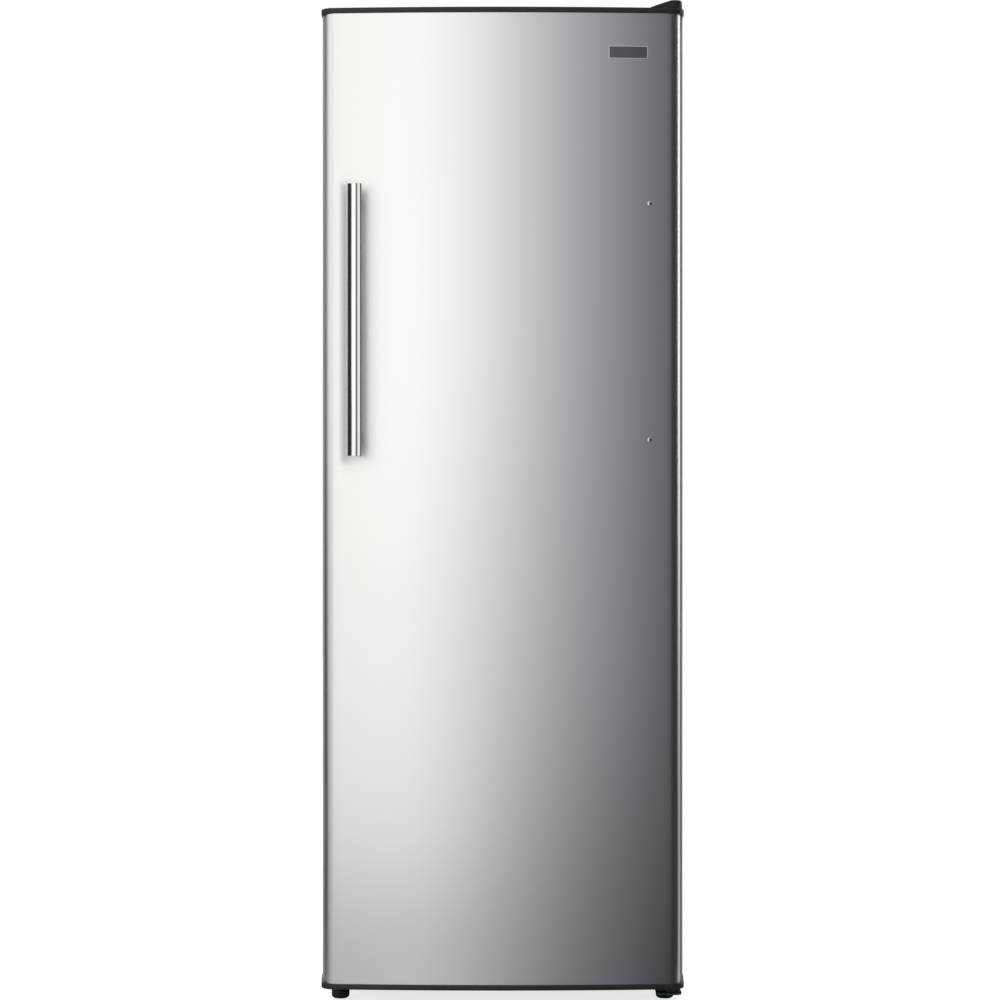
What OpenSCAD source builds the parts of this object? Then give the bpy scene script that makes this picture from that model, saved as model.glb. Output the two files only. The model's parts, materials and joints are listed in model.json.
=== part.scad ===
// Upright freezer: one right-hinged door, five wire shelves, four door bins, frost-free cooling unit.
// Millimetres, +Z up. The origin is on the floor, under the middle of the overall width and depth.
// The door faces -Y and turns on pins near its +X edge.

/* [Cabinet] */
// Width of the steel cabinet
cab_w = 596; // [560:1:680]
// Depth of the cabinet without its door
cab_d = 560; // [540:1:640]
// Height of the cabinet's top above the floor
cab_top = 1648; // [1600:1:1800]
// Height of the cabinet's underside above the floor
base_z = 21; // [20:0.5:30]
// Thickness of the steel wrap and back panel
shell_t = 0.8; // [0.5:0.1:1.2]
// Thickness of the steel base pan
pan_t = 1.2; // [0.8:0.1:2]
// Width of the front flange that the door seal meets
flange_w = 40; // [39:1:46]
// Whole thickness of an insulated wall, skins included
wall_t = 62; // [56:1:68]
// Thickness of the plastic liner
liner_t = 1.5; // [1:0.1:2.5]
// Depth of the spacers that keep the back off the room wall
spacer_d = 15; // [10:1:30]
// Height of a rear spacer
spacer_h = 60; // [40:1:90]
// Width of a rear spacer
spacer_w = 24; // [16:1:40]
// Distance of a rear spacer from the cabinet's side
spacer_inset = 95; // [60:1:180]
// Distance of a rear spacer's top below the cabinet's top
spacer_drop = 90; // [40:1:300]

/* [Machine compartment] */
// Depth of the compartment at the back
comp_d = 235; // [225:1:250]
// Height of the compartment's roof above the underside
comp_h = 250; // [245:1:280]
// Foam between the compartment and the inside
step_wall = 50; // [40:1:60]
// Height of the compressor deck above the underside
deck_rise = 25; // [24:1:30]
// Thickness of the deck plate
deck_t = 2; // [1.5:0.5:3]
// Diameter of the compressor can
can_dia = 144; // [130:1:150]
// Height of the compressor can
can_h = 165; // [150:1:168]
// Sideways place of the compressor
can_x = -90; // [-110:1:-70]
// Height of a rubber grommet under the compressor's legs
grommet_h = 14; // [10:1:16]
// Thickness of the rear cover
rear_t = 1.2; // [0.8:0.1:2]
// Length of the drip tray
tray_len = 170; // [150:1:180]
// Width of the drip tray
tray_w = 150; // [140:1:160]
// Depth of the drip tray
tray_h = 22; // [16:1:26]

/* [Door] */
// Thickness of the door at its side edges
door_t = 55; // [50:1:65]
// How far the bowed front stands out at the middle
bow_rise = 12; // [6:1:20]
// Radius of the door's upright front edges
door_corner_r = 20; // [14:1:24]
// Gap between the door's back and the cabinet
door_gap = 9.5; // [8:0.5:12]
// Height of the door's underside above the floor
door_bottom = 29; // [28.5:0.5:40]
// How far the door's top lies under the cabinet's top
door_drop = 2; // [1.8:0.2:4]
// Thickness of the door's steel skin
skin_t = 0.6; // [0.4:0.1:1]
// Visible height of the plastic end caps
cap_h = 9; // [7:0.5:14]
// How far the end caps stand out past the steel
cap_lip = 2; // [1:0.5:3]
// How far the bottom cap's side ears rise up the door
ear_rise = 8; // [5:1:14]
// How far an ear reaches forwards from the door's back
ear_d = 34; // [28:1:34]
// Thickness of the door liner
door_liner_t = 2; // [1.5:0.5:3]
// Distance from the cabinet's side to the seal's outer edge
seal_inset = 19; // [18.5:0.5:20]
// Width of the door seal
seal_w = 18; // [14:1:18]

/* [Handle and badge] */
// Diameter of the handle bar
bar_dia = 24; // [18:1:30]
// Length of the handle bar
bar_len = 445; // [420:1:600]
// Height of the middle of the bar
bar_z = 1129; // [900:1:1250]
// Distance between the two handle posts
post_pitch = 389; // [300:1:400]
// Diameter of a handle post
post_dia = 16; // [12:1:17]
// Distance of the bar from the door's free side edge
bar_inset = 56; // [45:1:80]
// How far the bar's front stands out from the door
bar_reach = 45; // [40:1:60]
// Diameter of a plug in the unused handle holes
plug_dia = 7; // [6:0.5:10]
// Width of the bare badge plate
badge_w = 65; // [40:1:90]
// Height of the bare badge plate
badge_h = 21.5; // [12:0.5:30]
// Thickness of the badge plate
badge_t = 1.2; // [0.6:0.2:2]
// Distance of the badge's middle from the hinged side edge
badge_inset = 91; // [60:1:140]
// Distance of the badge's middle from the door's top
badge_drop = 74; // [50:1:120]

/* [Hinges] */
// Distance of the hinge axis from the door's side
hinge_inset = 22; // [20:0.5:22]
// Distance of the hinge axis from the door's back
hinge_setback = 35; // [32:0.5:36]
// Diameter of the hinge pins
pin_dia = 8; // [6:0.5:9]
// Thickness of the hinge brackets
bracket_t = 3; // [2.5:0.5:3.5]
// Width of the hinge brackets
bracket_w = 42; // [38:1:44]
// Height of the cover over the top hinge
cover_h = 12; // [11:0.5:16]

/* [Inside] */
// Depth of the air duct behind the inner panel
duct_d = 62; // [60:1:68]
// Height of the first shelf
shelf_z = 360; // [350:1:380]
// Distance from one shelf to the next
shelf_pitch = 240; // [225:1:242]
// Diameter of a shelf's frame rods
rod_dia = 6; // [5:0.5:7]
// Diameter of a shelf's thin wires
wire_dia = 3.2; // [2.5:0.1:4]
// Number of thin wires on a shelf
wire_count = 21; // [15:1:25]
// How far a shelf ledge stands out of the wall
ledge_w = 10; // [8:1:12]
// Free depth kept in front of the shelves for the door bins
shelf_setback = 105; // [104:1:120]
// Width of an upright rail on the door's inside
rail_w = 26; // [20:1:30]
// How far the rails stand out of the door's back
rail_h = 40; // [30:1:50]
// Distance of a rail from the inside wall
rail_gap = 15; // [12:1:20]
// Height of the first door bin's floor
bin_z = 250; // [200:1:260]
// Distance from one bin to the next
bin_pitch = 330; // [300:1:335]
// Height of a bin's front wall
bin_h = 80; // [60:1:110]
// How far a bin stands out of the door's back
bin_d = 98; // [80:1:100]
// Thickness of a bin's walls
bin_t = 2.5; // [2:0.5:3.5]

/* [Controls] */
// Width of the control housing
ctrl_w = 250; // [220:1:300]
// Height of the control housing
ctrl_h = 44; // [42:1:54]
// Depth of the control housing
ctrl_d = 110; // [90:1:120]
// Diameter of the thermostat knob
knob_dia = 36; // [28:1:38]
// Height of the knob off its housing
knob_h = 13; // [10:1:16]
// Angle between the two positions of the mode rocker
rocker_swing = 20; // [12:1:24]

/* [Cooling unit] */
// Width of the evaporator over its end plates
evap_w = 380; // [340:1:390]
// Height of the evaporator
evap_h = 400; // [360:1:420]
// Height of the evaporator's lower edge
evap_z = 440; // [430:1:460]
// Number of cooling fins
fin_count = 16; // [10:1:20]
// Number of passes of the evaporator tube
evap_passes = 8; // [6:2:10]
// Diameter of the evaporator tube
evap_tube = 8; // [7:0.5:9]
// Number of passes of the condenser tube
cond_passes = 10; // [6:2:12]
// Diameter of the condenser tube
cond_tube = 5; // [4:0.5:6]
// Diameter of the fan blade
fan_dia = 96; // [80:1:100]
// Distance of the fan's axis below the inside's top
fan_drop = 130; // [115:1:146]

/* [Feet and rollers] */
// Diameter of a levelling foot
foot_dia = 30; // [24:1:34]
// Height of a foot's pad
foot_h = 14; // [12:0.5:15]
// Radius of the foot's rounded lower edge
foot_round = 6; // [3:0.5:8]
// Diameter of a foot's threaded stem
stem_dia = 8; // [6:0.5:9]
// Distance of a foot from the cabinet's side
foot_inset = 26; // [24:1:30]
// Distance of a foot from the cabinet's front
foot_setback = 15; // [15:1:18]
// How far a foot screws out
foot_travel = 15; // [5:1:18]
// Diameter of a rear roller
roller_dia = 24; // [20:1:26]
// Width of a rear roller
roller_w = 18; // [12:1:24]
// Distance of a roller from the cabinet's side
roller_inset = 68; // [50:1:90]

/* [Hidden] */
$fn = 48;

// Clearances
fit = 0.05;          // a pin or stem in its hole
seat = 0.3;          // a loose piece beside the wall that holds it
nip = 0.2;           // sheet edges that meet
past = 1;            // how far a cut runs past a face

// The chain of depths, from the handle's front to the back of the rear spacers
door_full_t = door_t + bow_rise;
overall_d = bar_reach + door_full_t + door_gap + cab_d + spacer_d;
y_crown = bar_reach - overall_d / 2;
y_door = y_crown + door_full_t;
y_front = y_door + door_gap;
y_back = y_front + cab_d;

// The cabinet's halves and inside
half_w = cab_w / 2;
in_half = half_w - wall_t;
in_floor = base_z + wall_t;
in_top = cab_top - wall_t;
in_back = y_back - wall_t;
in_round = 16;
comp_y = y_back - comp_d;
comp_roof = base_z + comp_h;
step_y = comp_y - pan_t - step_wall;
step_z = comp_roof + pan_t + step_wall;
foam_half = half_w - shell_t;
lip_top = base_z + flange_w + 3;
duct_y = in_back - duct_d;
duct_panel_t = 3;

// The door's bowed outline: one large arc between two corner arcs that it meets smoothly
bow_r = (half_w * half_w + bow_rise * bow_rise) / (2 * bow_rise);
bow_cy = y_crown + bow_r;
corner_cx = half_w - door_corner_r;
corner_cy = bow_cy - sqrt(pow(bow_r - door_corner_r, 2) - corner_cx * corner_cx);
lean = asin(corner_cx / (bow_r - door_corner_r));
door_top = cab_top - door_drop;
skin_low = door_bottom + cap_h;
skin_high = door_top - cap_h;

// Hinge axis
hinge_x = half_w - hinge_inset;
hinge_y = y_door - hinge_setback;
pin_r = pin_dia / 2;
bush_r = pin_r + 3;
bush_flange_r = bush_r + 2;
bush_flange_t = 1.2;
bush_len = 16;
boss_r = bush_r + 4;
boss_len = bush_len - cap_h + 3;
bracket_x0 = min(hinge_x + 20, half_w - 2) - bracket_w;
bracket_x1 = bracket_x0 + bracket_w;
bracket_nose = 14;
top_bracket_back = 72;
low_bracket_back = 86;
screw_r = 2.5;
screw_head_r = 4.5;
screw_head_h = 2.5;
screw_len = 16;
screw_shank = 1;
screw_in = 12;
screw_out = 10;
top_screws = [22, 38, 54];
low_screws = [44, 58, 72];
collar_top = door_bottom - bush_flange_t - seat;

// Handle and badge
bar_r = bar_dia / 2;
bar_x = bar_inset - half_w;
bar_y = y_crown - bar_reach + bar_r;
post_r = post_dia / 2;
stud_r = 4;
stud_depth = 22;
plug_r = plug_dia / 2;
plug_shank_r = plug_r - 1;
plug_depth = 9;
badge_x = half_w - badge_inset;
badge_z = door_top - badge_drop;

// Door inside
seal_half = half_w - seal_inset;
seal_low = skin_low + 4;
seal_high = cab_top - seal_inset - 2;
seal_thick = door_gap - 0.5;
rail_out = in_half - rail_gap;
rail_in = rail_out - rail_w;
rail_low = in_floor + 37;
rail_high = in_top - 46;
bin_half = rail_in - 0.5;
bin_round = 8;
bin_count = 4;
nub = [6, 24, 8];
nub_setback = 8;

// Shelves
shelf_front = y_front + shelf_setback;
shelf_back = duct_y - 4;
rod_r = rod_dia / 2;
wire_r = wire_dia / 2;
shelf_half = in_half - ledge_w / 2 - 1;
ledge_t = 8;
ledge_lead = 6;
shelf_count = 5;

// Controls
ctrl_y = shelf_front;
ctrl_z = in_top - ctrl_h;
ctrl_t = 2;
dial_z = in_top - ctrl_h / 2;
knob_x = -55;
shaft_r = 3;
shaft_len = 12;
grip_half = 4;
grip_h = 7;
rocker_x = 45;
rocker_w = 24;
rocker_half = 9;
rocker_play = 0.6;
board = [120, 70, 1.6];
chip = [14, 20, 10.4];
chip_pitch = 24;
lens_w = 80;
lens_d = 50;
lens_front = 40;
lens_lip = 3;
lens_flange = 1.2;

// Cooling unit
evap_d = 44;
evap_y = duct_y + duct_panel_t + (duct_d - duct_panel_t) / 2;
fin_t = 0.8;
plate_t = 1.5;
evap_r = evap_tube / 2;
evap_pitch = evap_h / evap_passes;
evap_reach = evap_w / 2 + 6;
tail = 26;
heater_r = 4;
heater_gap = 26;
heater_z = evap_z - 18;
trough_z = step_z + 42;
trough_h = 26;
trough_t = 2;
trough_gap = 3;
drain_x = can_x;
drain_r = 8;
drain_t = 1.5;
line_x = (evap_w / 2 + in_half) / 2;
feed_x = (line_x + evap_r + in_half) / 2;
feed_r = 1.2;
feed_bend = (feed_x - line_x) / 2;
line_play = 1.2;
line_gap = 0.4;
fan_y = duct_y + duct_panel_t + 5;
fan_z = in_top - fan_drop;
shroud_gap = 4;
shroud_r = fan_dia / 2 + shroud_gap;
shroud_t = 2;
shroud_len = 24;
vent_pitch = 11;
vent_h = 5.5;
vent_rows = 3;
vent_x = 120;
vent_half = 45;
vent_drop = 52;
return_count = 9;
return_pitch = 20;
return_w = 8;
return_low = 14;
return_h = 14;
hub_len = 16;
hub_cap = 2;
hub_r = 15;
blade_count = 5;
motor_r = 25;
cond_r = cond_tube / 2;
cond_y = y_back - max(shell_t, rear_t) - seat - cond_r;
cond_front = cond_y - cond_r - seat;
cond_room = 8;
cond_half = foam_half - 55;
cond_low = comp_roof - 16;
cond_high = cab_top - 105;
cond_lead = 168;

// Machine compartment
deck_z = base_z + deck_rise;
deck_top = deck_z + deck_t;
can_r = can_dia / 2;
can_y = comp_y + comp_d / 2;
can_z = deck_top + 8;
can_top = can_z + can_h;
weld_lip = 2.5;
leg_x = 68;
leg_y = 56;
leg_z = deck_top + grommet_h;
leg_t = 3;
grommet_r = 9;
grommet_foot = 5;
bolt_r = 4;
suction_z = can_top - 40;
discharge_z = can_z + 80;
drier_x = foam_half - 57;
drier_y = y_back - 63;
drier_r = 9;
drier_low = deck_top + 75;
drier_high = drier_low + 90;
tray_t = 2;
tray_round = 12;
bolt_head_r = 7;
bolt_head_h = 4;
washer_r = 9;
washer_t = 1.5;
nut_h = 5;
relay_w = 52;
relay_low = 58;
relay_h = 54;
relay_out = 34;
relay_in = 14;
deck_back = y_back - rear_t - 1;
deck_flange = 18;
rear_low = deck_top + nip;
rear_high = comp_roof - nip;
gland_x = 170;
gland_z = deck_top + 46;
gland_r = 9;
cord_r = 4.5;
slot_cols = 3;
slot_rows = 7;
slot_w = 120;
slot_h = 6;
slot_pitch = 17;
slot_col_pitch = 165;
slot_low = 78;

// Feet and rollers
foot_x = half_w - foot_inset;
foot_y = y_front + foot_setback;
stem_r = stem_dia / 2;
stem_top = base_z + foot_travel + 8;
weld_nut_h = 6;
weld_nut_r = stem_r + 4;
roller_r = roller_dia / 2;
roller_x = half_w - roller_inset;
roller_y = y_back - 40;
axle_r = 3;
fork_t = 2;
fork_gap = roller_w / 2 + 0.8;
fork_plate = 22;
fork_top = 18;
fork_foot = 8;
fork_skirt = 4;
axle_head = 2;

// ---------- shared helpers ----------

function arc(cx, cy, r, a0, a1, n) =
  [for (i = [0 : n]) let (a = a0 + (a1 - a0) * i / n) [cx + r * cos(a), cy + r * sin(a)]];

// Outline of the door, grown outwards by g, with its open side at y = back
function door_outline(g, back) = concat(
  [[-half_w - g, back]],
  arc(-corner_cx, corner_cy, door_corner_r + g, 180, 270 - lean, 6),
  arc(0, bow_cy, bow_r + g, 270 - lean, 270 + lean, 24),
  arc(corner_cx, corner_cy, door_corner_r + g, 270 + lean, 360, 6),
  [[half_w + g, back]]);

function without_repeats(pts) =
  [for (i = [0 : len(pts) - 1]) if (i == 0 || norm(pts[i] - pts[i - 1]) > 0.001) pts[i]];

// Height of the bowed face over y at a place x
function face_y(x) = bow_cy - sqrt(bow_r * bow_r - x * x);

// Rectangle with rounded corners, from its corners' places
function round_box(x0, z0, x1, z1, r, n = 4) = concat(
  arc(x1 - r, z0 + r, r, -90, 0, n), arc(x1 - r, z1 - r, r, 0, 90, n),
  arc(x0 + r, z1 - r, r, 90, 180, n), arc(x0 + r, z0 + r, r, 180, 270, n));

module block(x0, y0, z0, x1, y1, z1) {
  translate([x0, y0, z0]) cube([x1 - x0, y1 - y0, z1 - z0]);
}

// Drawing in the XZ plane, made solid from y0 to y1
module along_y(y0, y1) {
  translate([0, y1, 0]) rotate([90, 0, 0]) linear_extrude(y1 - y0) children();
}

// Drawing in the YZ plane, made solid from x0 to x1
module along_x(x0, x1) {
  translate([x0, 0, 0]) rotate([90, 0, 90]) linear_extrude(x1 - x0) children();
}

module rod_x(x0, x1, y, z, r) {
  translate([x0, y, z]) rotate([0, 90, 0]) cylinder(r = r, h = x1 - x0);
}

module rod_y(y0, y1, x, z, r) {
  translate([x, y0, z]) rotate([-90, 0, 0]) cylinder(r = r, h = y1 - y0);
}

module rod_z(z0, z1, x, y, r) {
  translate([x, y, z0]) cylinder(r = r, h = z1 - z0);
}

module mirrored_x() {
  children();
  mirror([1, 0, 0]) children();
}

// Solid with the door's outline between two heights
module door_block(z0, z1, g, back) {
  translate([0, 0, z0]) linear_extrude(z1 - z0) polygon(without_repeats(door_outline(g, back)));
}

// The storage space, grown by g on every wall and open at the front
module storage_space(g) {
  intersection() {
    along_y(y_front - past, in_back + g)
      polygon(round_box(-in_half - g, in_floor - g, in_half + g, in_top + g, in_round + g));
    along_x(-in_half - g, in_half + g)
      polygon([
        [y_front - past, in_floor - g], [step_y + g, in_floor - g], [step_y + g, step_z - g],
        [in_back + g, step_z - g], [in_back + g, in_top + g], [y_front - past, in_top + g]]);
  }
}

// Bent tube: the path's inner corners become curves that start `bend` before them
function unit(v) = v / norm(v);

function bend_at(a, b, c, bend, n) =
  let (p = b + unit(a - b) * bend, q = b + unit(c - b) * bend)
  [for (i = [0 : n]) let (u = i / n) p * (1 - u) * (1 - u) + b * 2 * u * (1 - u) + q * u * u];

function bent_path(pts, bend, n = 4) = concat(
  [pts[0]],
  [for (i = [1 : len(pts) - 2]) each bend_at(pts[i - 1], pts[i], pts[i + 1], bend, n)],
  [pts[len(pts) - 1]]);

function carried_sides(ts, s, i = 0) =
  i >= len(ts) ? [] : let (k = unit(s - ts[i] * (s * ts[i]))) concat([k], carried_sides(ts, k, i + 1));

module tube(pts, r, sides = 8) {
  n = len(pts);
  ts = [for (i = [0 : n - 1]) unit(pts[min(i + 1, n - 1)] - pts[max(i - 1, 0)])];
  ks = carried_sides(ts, abs(ts[0].z) < 0.9 ? [0, 0, 1] : [1, 0, 0]);
  rim = [for (i = [0 : n - 1]) for (j = [0 : sides - 1]) let (a = 360 * j / sides)
    pts[i] + r * (cos(a) * ks[i] + sin(a) * cross(ts[i], ks[i]))];
  walls = [for (i = [0 : n - 2]) for (j = [0 : sides - 1]) let (k = (j + 1) % sides)
    [i * sides + j, (i + 1) * sides + j, (i + 1) * sides + k, i * sides + k]];
  polyhedron(rim, concat(
    [[for (j = [0 : sides - 1]) j]],
    walls,
    [[for (j = [sides - 1 : -1 : 0]) (n - 1) * sides + j]]));
}

// Row of upright passes joined by turns, as a path in a plane of constant y
function upright_passes(half, low, high, count, y) =
  [for (i = [0 : 2 * count - 1]) let (k = floor(i / 2), up = (k % 2 == 0) == (i % 2 == 1))
    [-half + 2 * half * k / (count - 1), y, up ? high : low]];

// ---------- cabinet ----------

// Three screw places of a hinge bracket, from their distances behind the cabinet's front
module bracket_places(setbacks) {
  translate([bracket_x0 + screw_in, y_front + setbacks[0], 0]) children();
  translate([bracket_x1 - screw_out, y_front + setbacks[1], 0]) children();
  translate([bracket_x0 + screw_in, y_front + setbacks[2], 0]) children();
}

module cabinet_shell() {
  color([0.62, 0.63, 0.64]) difference() {
    block(-half_w, y_front, base_z, half_w, y_back, cab_top);
    block(-foam_half, y_front + shell_t, base_z - past, foam_half, y_back + past, cab_top - shell_t);
    block(flange_w - half_w, y_front - past, base_z - past,
      half_w - flange_w, y_front + shell_t + past, cab_top - flange_w);
    bracket_places(top_screws) rod_z(cab_top - shell_t - past, cab_top + past, 0, 0, screw_r + fit);
  }
}

module back_panel() {
  color([0.62, 0.63, 0.64])
    block(-foam_half, y_back - shell_t, comp_roof + pan_t, foam_half, y_back, cab_top - shell_t);
}

// Holes for the drain tube and for the two lines that rise to the evaporator
module riser_holes(z0, z1) {
  rod_z(z0, z1, drain_x, evap_y, drain_r + nip);
  rod_z(z0, z1, line_x, evap_y, evap_r + line_play);
  rod_z(z0, z1, feed_x, evap_y, feed_r + line_play);
}

module base_pan() {
  roof_back = cond_front - 1;
  color([0.55, 0.56, 0.57]) difference() {
    union() {
      along_x(-foam_half, foam_half)
        polygon([
          [y_front + shell_t, base_z], [comp_y, base_z], [comp_y, comp_roof],
          [roof_back, comp_roof], [roof_back, comp_roof + pan_t], [comp_y - pan_t, comp_roof + pan_t],
          [comp_y - pan_t, base_z + pan_t], [y_front + shell_t, base_z + pan_t]]);
      block(flange_w - half_w + nip, y_front, base_z, half_w - flange_w - nip, y_front + pan_t, lip_top);
      mirrored_x() rod_z(base_z, base_z + pan_t + weld_nut_h, foot_x, foot_y, weld_nut_r);
    }
    mirrored_x() rod_z(base_z - past, base_z + pan_t + weld_nut_h + past, foot_x, foot_y, stem_r + fit);
    bracket_places(low_screws) rod_z(base_z - past, base_z + pan_t + past, 0, 0, screw_r + fit);
    riser_holes(comp_roof - past, comp_roof + pan_t + past);
  }
}

module cabinet_liner() {
  color([0.94, 0.95, 0.95]) difference() {
    union() {
      intersection() {
        storage_space(liner_t);
        block(-half_w, y_front, base_z, half_w, y_back, cab_top);
      }
      block(flange_w - half_w + nip, y_front, lip_top + nip,
        half_w - flange_w - nip, y_front + liner_t, cab_top - flange_w - nip);
    }
    difference() {
      storage_space(0);
      for (i = [0 : shelf_count - 1]) mirrored_x()
        block(in_half - ledge_w, shelf_front - ledge_lead, ledge_top(i) - ledge_t,
          in_half + past, shelf_back, ledge_top(i));
    }
    riser_holes(step_z - liner_t - past, step_z + past);
  }
}

module cabinet_foam() {
  front = y_front + liner_t;
  back = y_back - shell_t;
  low = base_z + pan_t;
  roof = comp_roof + pan_t;
  color([0.93, 0.86, 0.66]) difference() {
    along_x(-foam_half, foam_half)
      polygon([
        [front, low], [comp_y - pan_t, low], [comp_y - pan_t, roof], [back, roof],
        [back, cab_top - shell_t], [front, cab_top - shell_t]]);
    storage_space(liner_t);
    block(-cond_half - cond_room, cond_front, roof - past, cond_half + cond_room, back + past,
      cond_high + cond_room);
    mirrored_x() {
      rod_z(low - past, low + weld_nut_h + seat, foot_x, foot_y, weld_nut_r + seat);
      rod_z(low, stem_top + past, foot_x, foot_y, stem_r + seat);
    }
    bracket_places(top_screws) rod_z(cab_top - screw_len - past, cab_top, 0, 0, screw_r + nip);
    bracket_places(low_screws) rod_z(low - past, base_z + screw_len + past, 0, 0, screw_r + nip);
    riser_holes(roof - past, step_z);
  }
}

module wall_spacers() {
  top = cab_top - spacer_drop;
  slope = spacer_d / 2;
  color([0.12, 0.12, 0.13]) mirrored_x()
    along_x(half_w - spacer_inset - spacer_w, half_w - spacer_inset)
      polygon([
        [y_back, top - spacer_h], [y_back + spacer_d, top - spacer_h + slope],
        [y_back + spacer_d, top - slope], [y_back, top]]);
}

// ---------- machine compartment ----------

module leg_places() {
  for (sx = [-1, 1]) for (sy = [-1, 1])
    translate([can_x + sx * leg_x, can_y + sy * leg_y, 0]) children();
}

module compressor_deck() {
  color([0.5, 0.51, 0.52]) difference() {
    union() {
      block(-foam_half, comp_y, deck_z, foam_half, deck_back, deck_top);
      block(-foam_half, comp_y, base_z, foam_half, comp_y + deck_t, deck_top);
      mirrored_x() block(foam_half - deck_t, comp_y, deck_z, foam_half, deck_back, deck_top + deck_flange);
    }
    leg_places() rod_z(deck_z - past, deck_top + past, 0, 0, bolt_r + fit);
  }
}

module compressor() {
  edge = 26;
  lip_h = 3;
  pad = 16;
  color([0.07, 0.07, 0.08]) {
    translate([can_x, can_y, can_z]) rotate_extrude($fn = 64)
      polygon(concat(
        [[0, 0]], arc(can_r - edge, edge, edge, -90, 0, 6),
        [[can_r, can_h / 2 - lip_h], [can_r + weld_lip, can_h / 2 - lip_h],
          [can_r + weld_lip, can_h / 2 + lip_h], [can_r, can_h / 2 + lip_h]],
        arc(can_r - edge, can_h - edge, edge, 0, 90, 6), [[0, can_h]]));
    difference() {
      translate([can_x, can_y, leg_z]) linear_extrude(leg_t)
        polygon(round_box(-leg_x - pad, -leg_y - pad, leg_x + pad, leg_y + pad, 12));
      rod_z(leg_z - past, leg_z + leg_t + past, can_x, can_y, can_r - 12);
      leg_places() rod_z(leg_z - past, leg_z + leg_t + past, 0, 0, bolt_r + fit);
    }
  }
}

module compressor_grommets() {
  color([0.1, 0.1, 0.1]) leg_places() difference() {
    union() {
      rod_z(deck_top, deck_top + grommet_foot, 0, 0, grommet_r + 3);
      rod_z(deck_top, leg_z, 0, 0, grommet_r);
    }
    rod_z(deck_top - past, leg_z + past, 0, 0, bolt_r + fit);
  }
}

module compressor_bolts() {
  head_z = leg_z + leg_t + washer_t;
  color([0.7, 0.7, 0.72]) leg_places() {
    rod_z(deck_z - nut_h, head_z, 0, 0, bolt_r);
    rod_z(leg_z + leg_t, head_z, 0, 0, washer_r);
    translate([0, 0, head_z]) cylinder(r = bolt_head_r, h = bolt_head_h, $fn = 6);
    translate([0, 0, deck_z - nut_h]) cylinder(r = bolt_head_r, h = nut_h, $fn = 6);
  }
}

module relay_box() {
  color([0.16, 0.16, 0.17]) difference() {
    block(can_x + can_r - relay_in, can_y - relay_w / 2, can_z + relay_low,
      can_x + can_r + relay_out, can_y + relay_w / 2, can_z + relay_low + relay_h);
    rod_z(can_z, can_top, can_x, can_y, can_r + weld_lip + seat);
  }
}

module filter_drier() {
  neck = 12;
  color([0.72, 0.45, 0.25]) translate([drier_x, drier_y, drier_low]) rotate_extrude()
    polygon([
      [0, 0], [2.4, 0], [drier_r, neck], [drier_r, drier_high - drier_low - neck],
      [3, drier_high - drier_low], [0, drier_high - drier_low]]);
}

module refrigerant_lines() {
  out_y = drier_y + 40;
  liquid_z = cond_low - 24;
  feed_low = drier_low - 30;
  feed_high = evap_z + evap_h - evap_pitch / 2;
  can_front = can_x + can_r;
  color([0.72, 0.45, 0.25]) {
    // hot gas from the compressor to the condenser
    tube(bent_path([
      [can_x, can_y + can_r + weld_lip + line_gap, discharge_z], [can_x, out_y, discharge_z],
      [-cond_half, out_y, discharge_z], [-cond_half, cond_y, discharge_z + 40],
      [-cond_half, cond_y, cond_low - line_gap]], 9), cond_r);
    // liquid from the condenser to the drier
    tube(bent_path([
      [cond_half, cond_y, cond_low - line_gap], [cond_half, cond_y, liquid_z],
      [drier_x, drier_y, liquid_z], [drier_x, drier_y, drier_high + line_gap]], 10), cond_r);
    // thin feed from the drier up to the evaporator
    tube(bent_path([
      [drier_x, drier_y, drier_low - line_gap], [drier_x, drier_y, feed_low],
      [feed_x, evap_y, feed_low], [feed_x, evap_y, feed_high],
      [line_x + line_gap, evap_y, feed_high]], feed_bend), feed_r);
    // cold gas from the evaporator back to the compressor
    tube(bent_path([
      [line_x, evap_y, evap_z - tail - line_gap], [line_x, evap_y, suction_z],
      [can_front + 6, can_y, suction_z], [can_front + line_gap, can_y, suction_z]], 5), evap_r);
  }
}

module drip_tray() {
  x1 = tray_len / 2;
  y1 = tray_w / 2;
  color([0.9, 0.9, 0.9]) translate([can_x, can_y, can_top]) difference() {
    linear_extrude(tray_h) polygon(round_box(-x1, -y1, x1, y1, tray_round));
    translate([0, 0, tray_t]) linear_extrude(tray_h)
      polygon(round_box(tray_t - x1, tray_t - y1, x1 - tray_t, y1 - tray_t, tray_round - tray_t));
  }
}

module rear_cover() {
  color([0.5, 0.51, 0.52]) difference() {
    block(-foam_half + nip, y_back - rear_t, rear_low, foam_half - nip, y_back, rear_high);
    for (col = [0 : slot_cols - 1]) for (i = [0 : slot_rows - 1])
      let (x = (col - (slot_cols - 1) / 2) * slot_col_pitch, z = rear_low + slot_low + i * slot_pitch)
      block(x - slot_w / 2, y_back - rear_t - past, z, x + slot_w / 2, y_back + past, z + slot_h);
    rear_screw_places() rod_y(-rear_t - past, past, 0, 0, screw_r + fit);
    rod_y(y_back - rear_t - past, y_back + past, gland_x, gland_z, gland_r + fit);
  }
}

module rear_screw_places() {
  for (sx = [-1, 1]) for (z = [rear_low + 10, rear_high - 10])
    translate([sx * (foam_half - 11), y_back, z]) children();
}

module rear_cover_screws() {
  color([0.75, 0.75, 0.77]) rear_screw_places() {
    rod_y(-9, 0, 0, 0, screw_r);
    rod_y(0, screw_head_h, 0, 0, screw_head_r);
  }
}

module cord_gland() {
  color([0.1, 0.1, 0.1]) difference() {
    union() {
      rod_y(y_back - rear_t - 6, y_back, gland_x, gland_z, gland_r);
      rod_y(y_back, y_back + 4, gland_x, gland_z, gland_r + 4);
    }
    rod_y(y_back - 10, y_back + 5, gland_x, gland_z, cord_r);
  }
}

// ---------- cooling unit ----------

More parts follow.
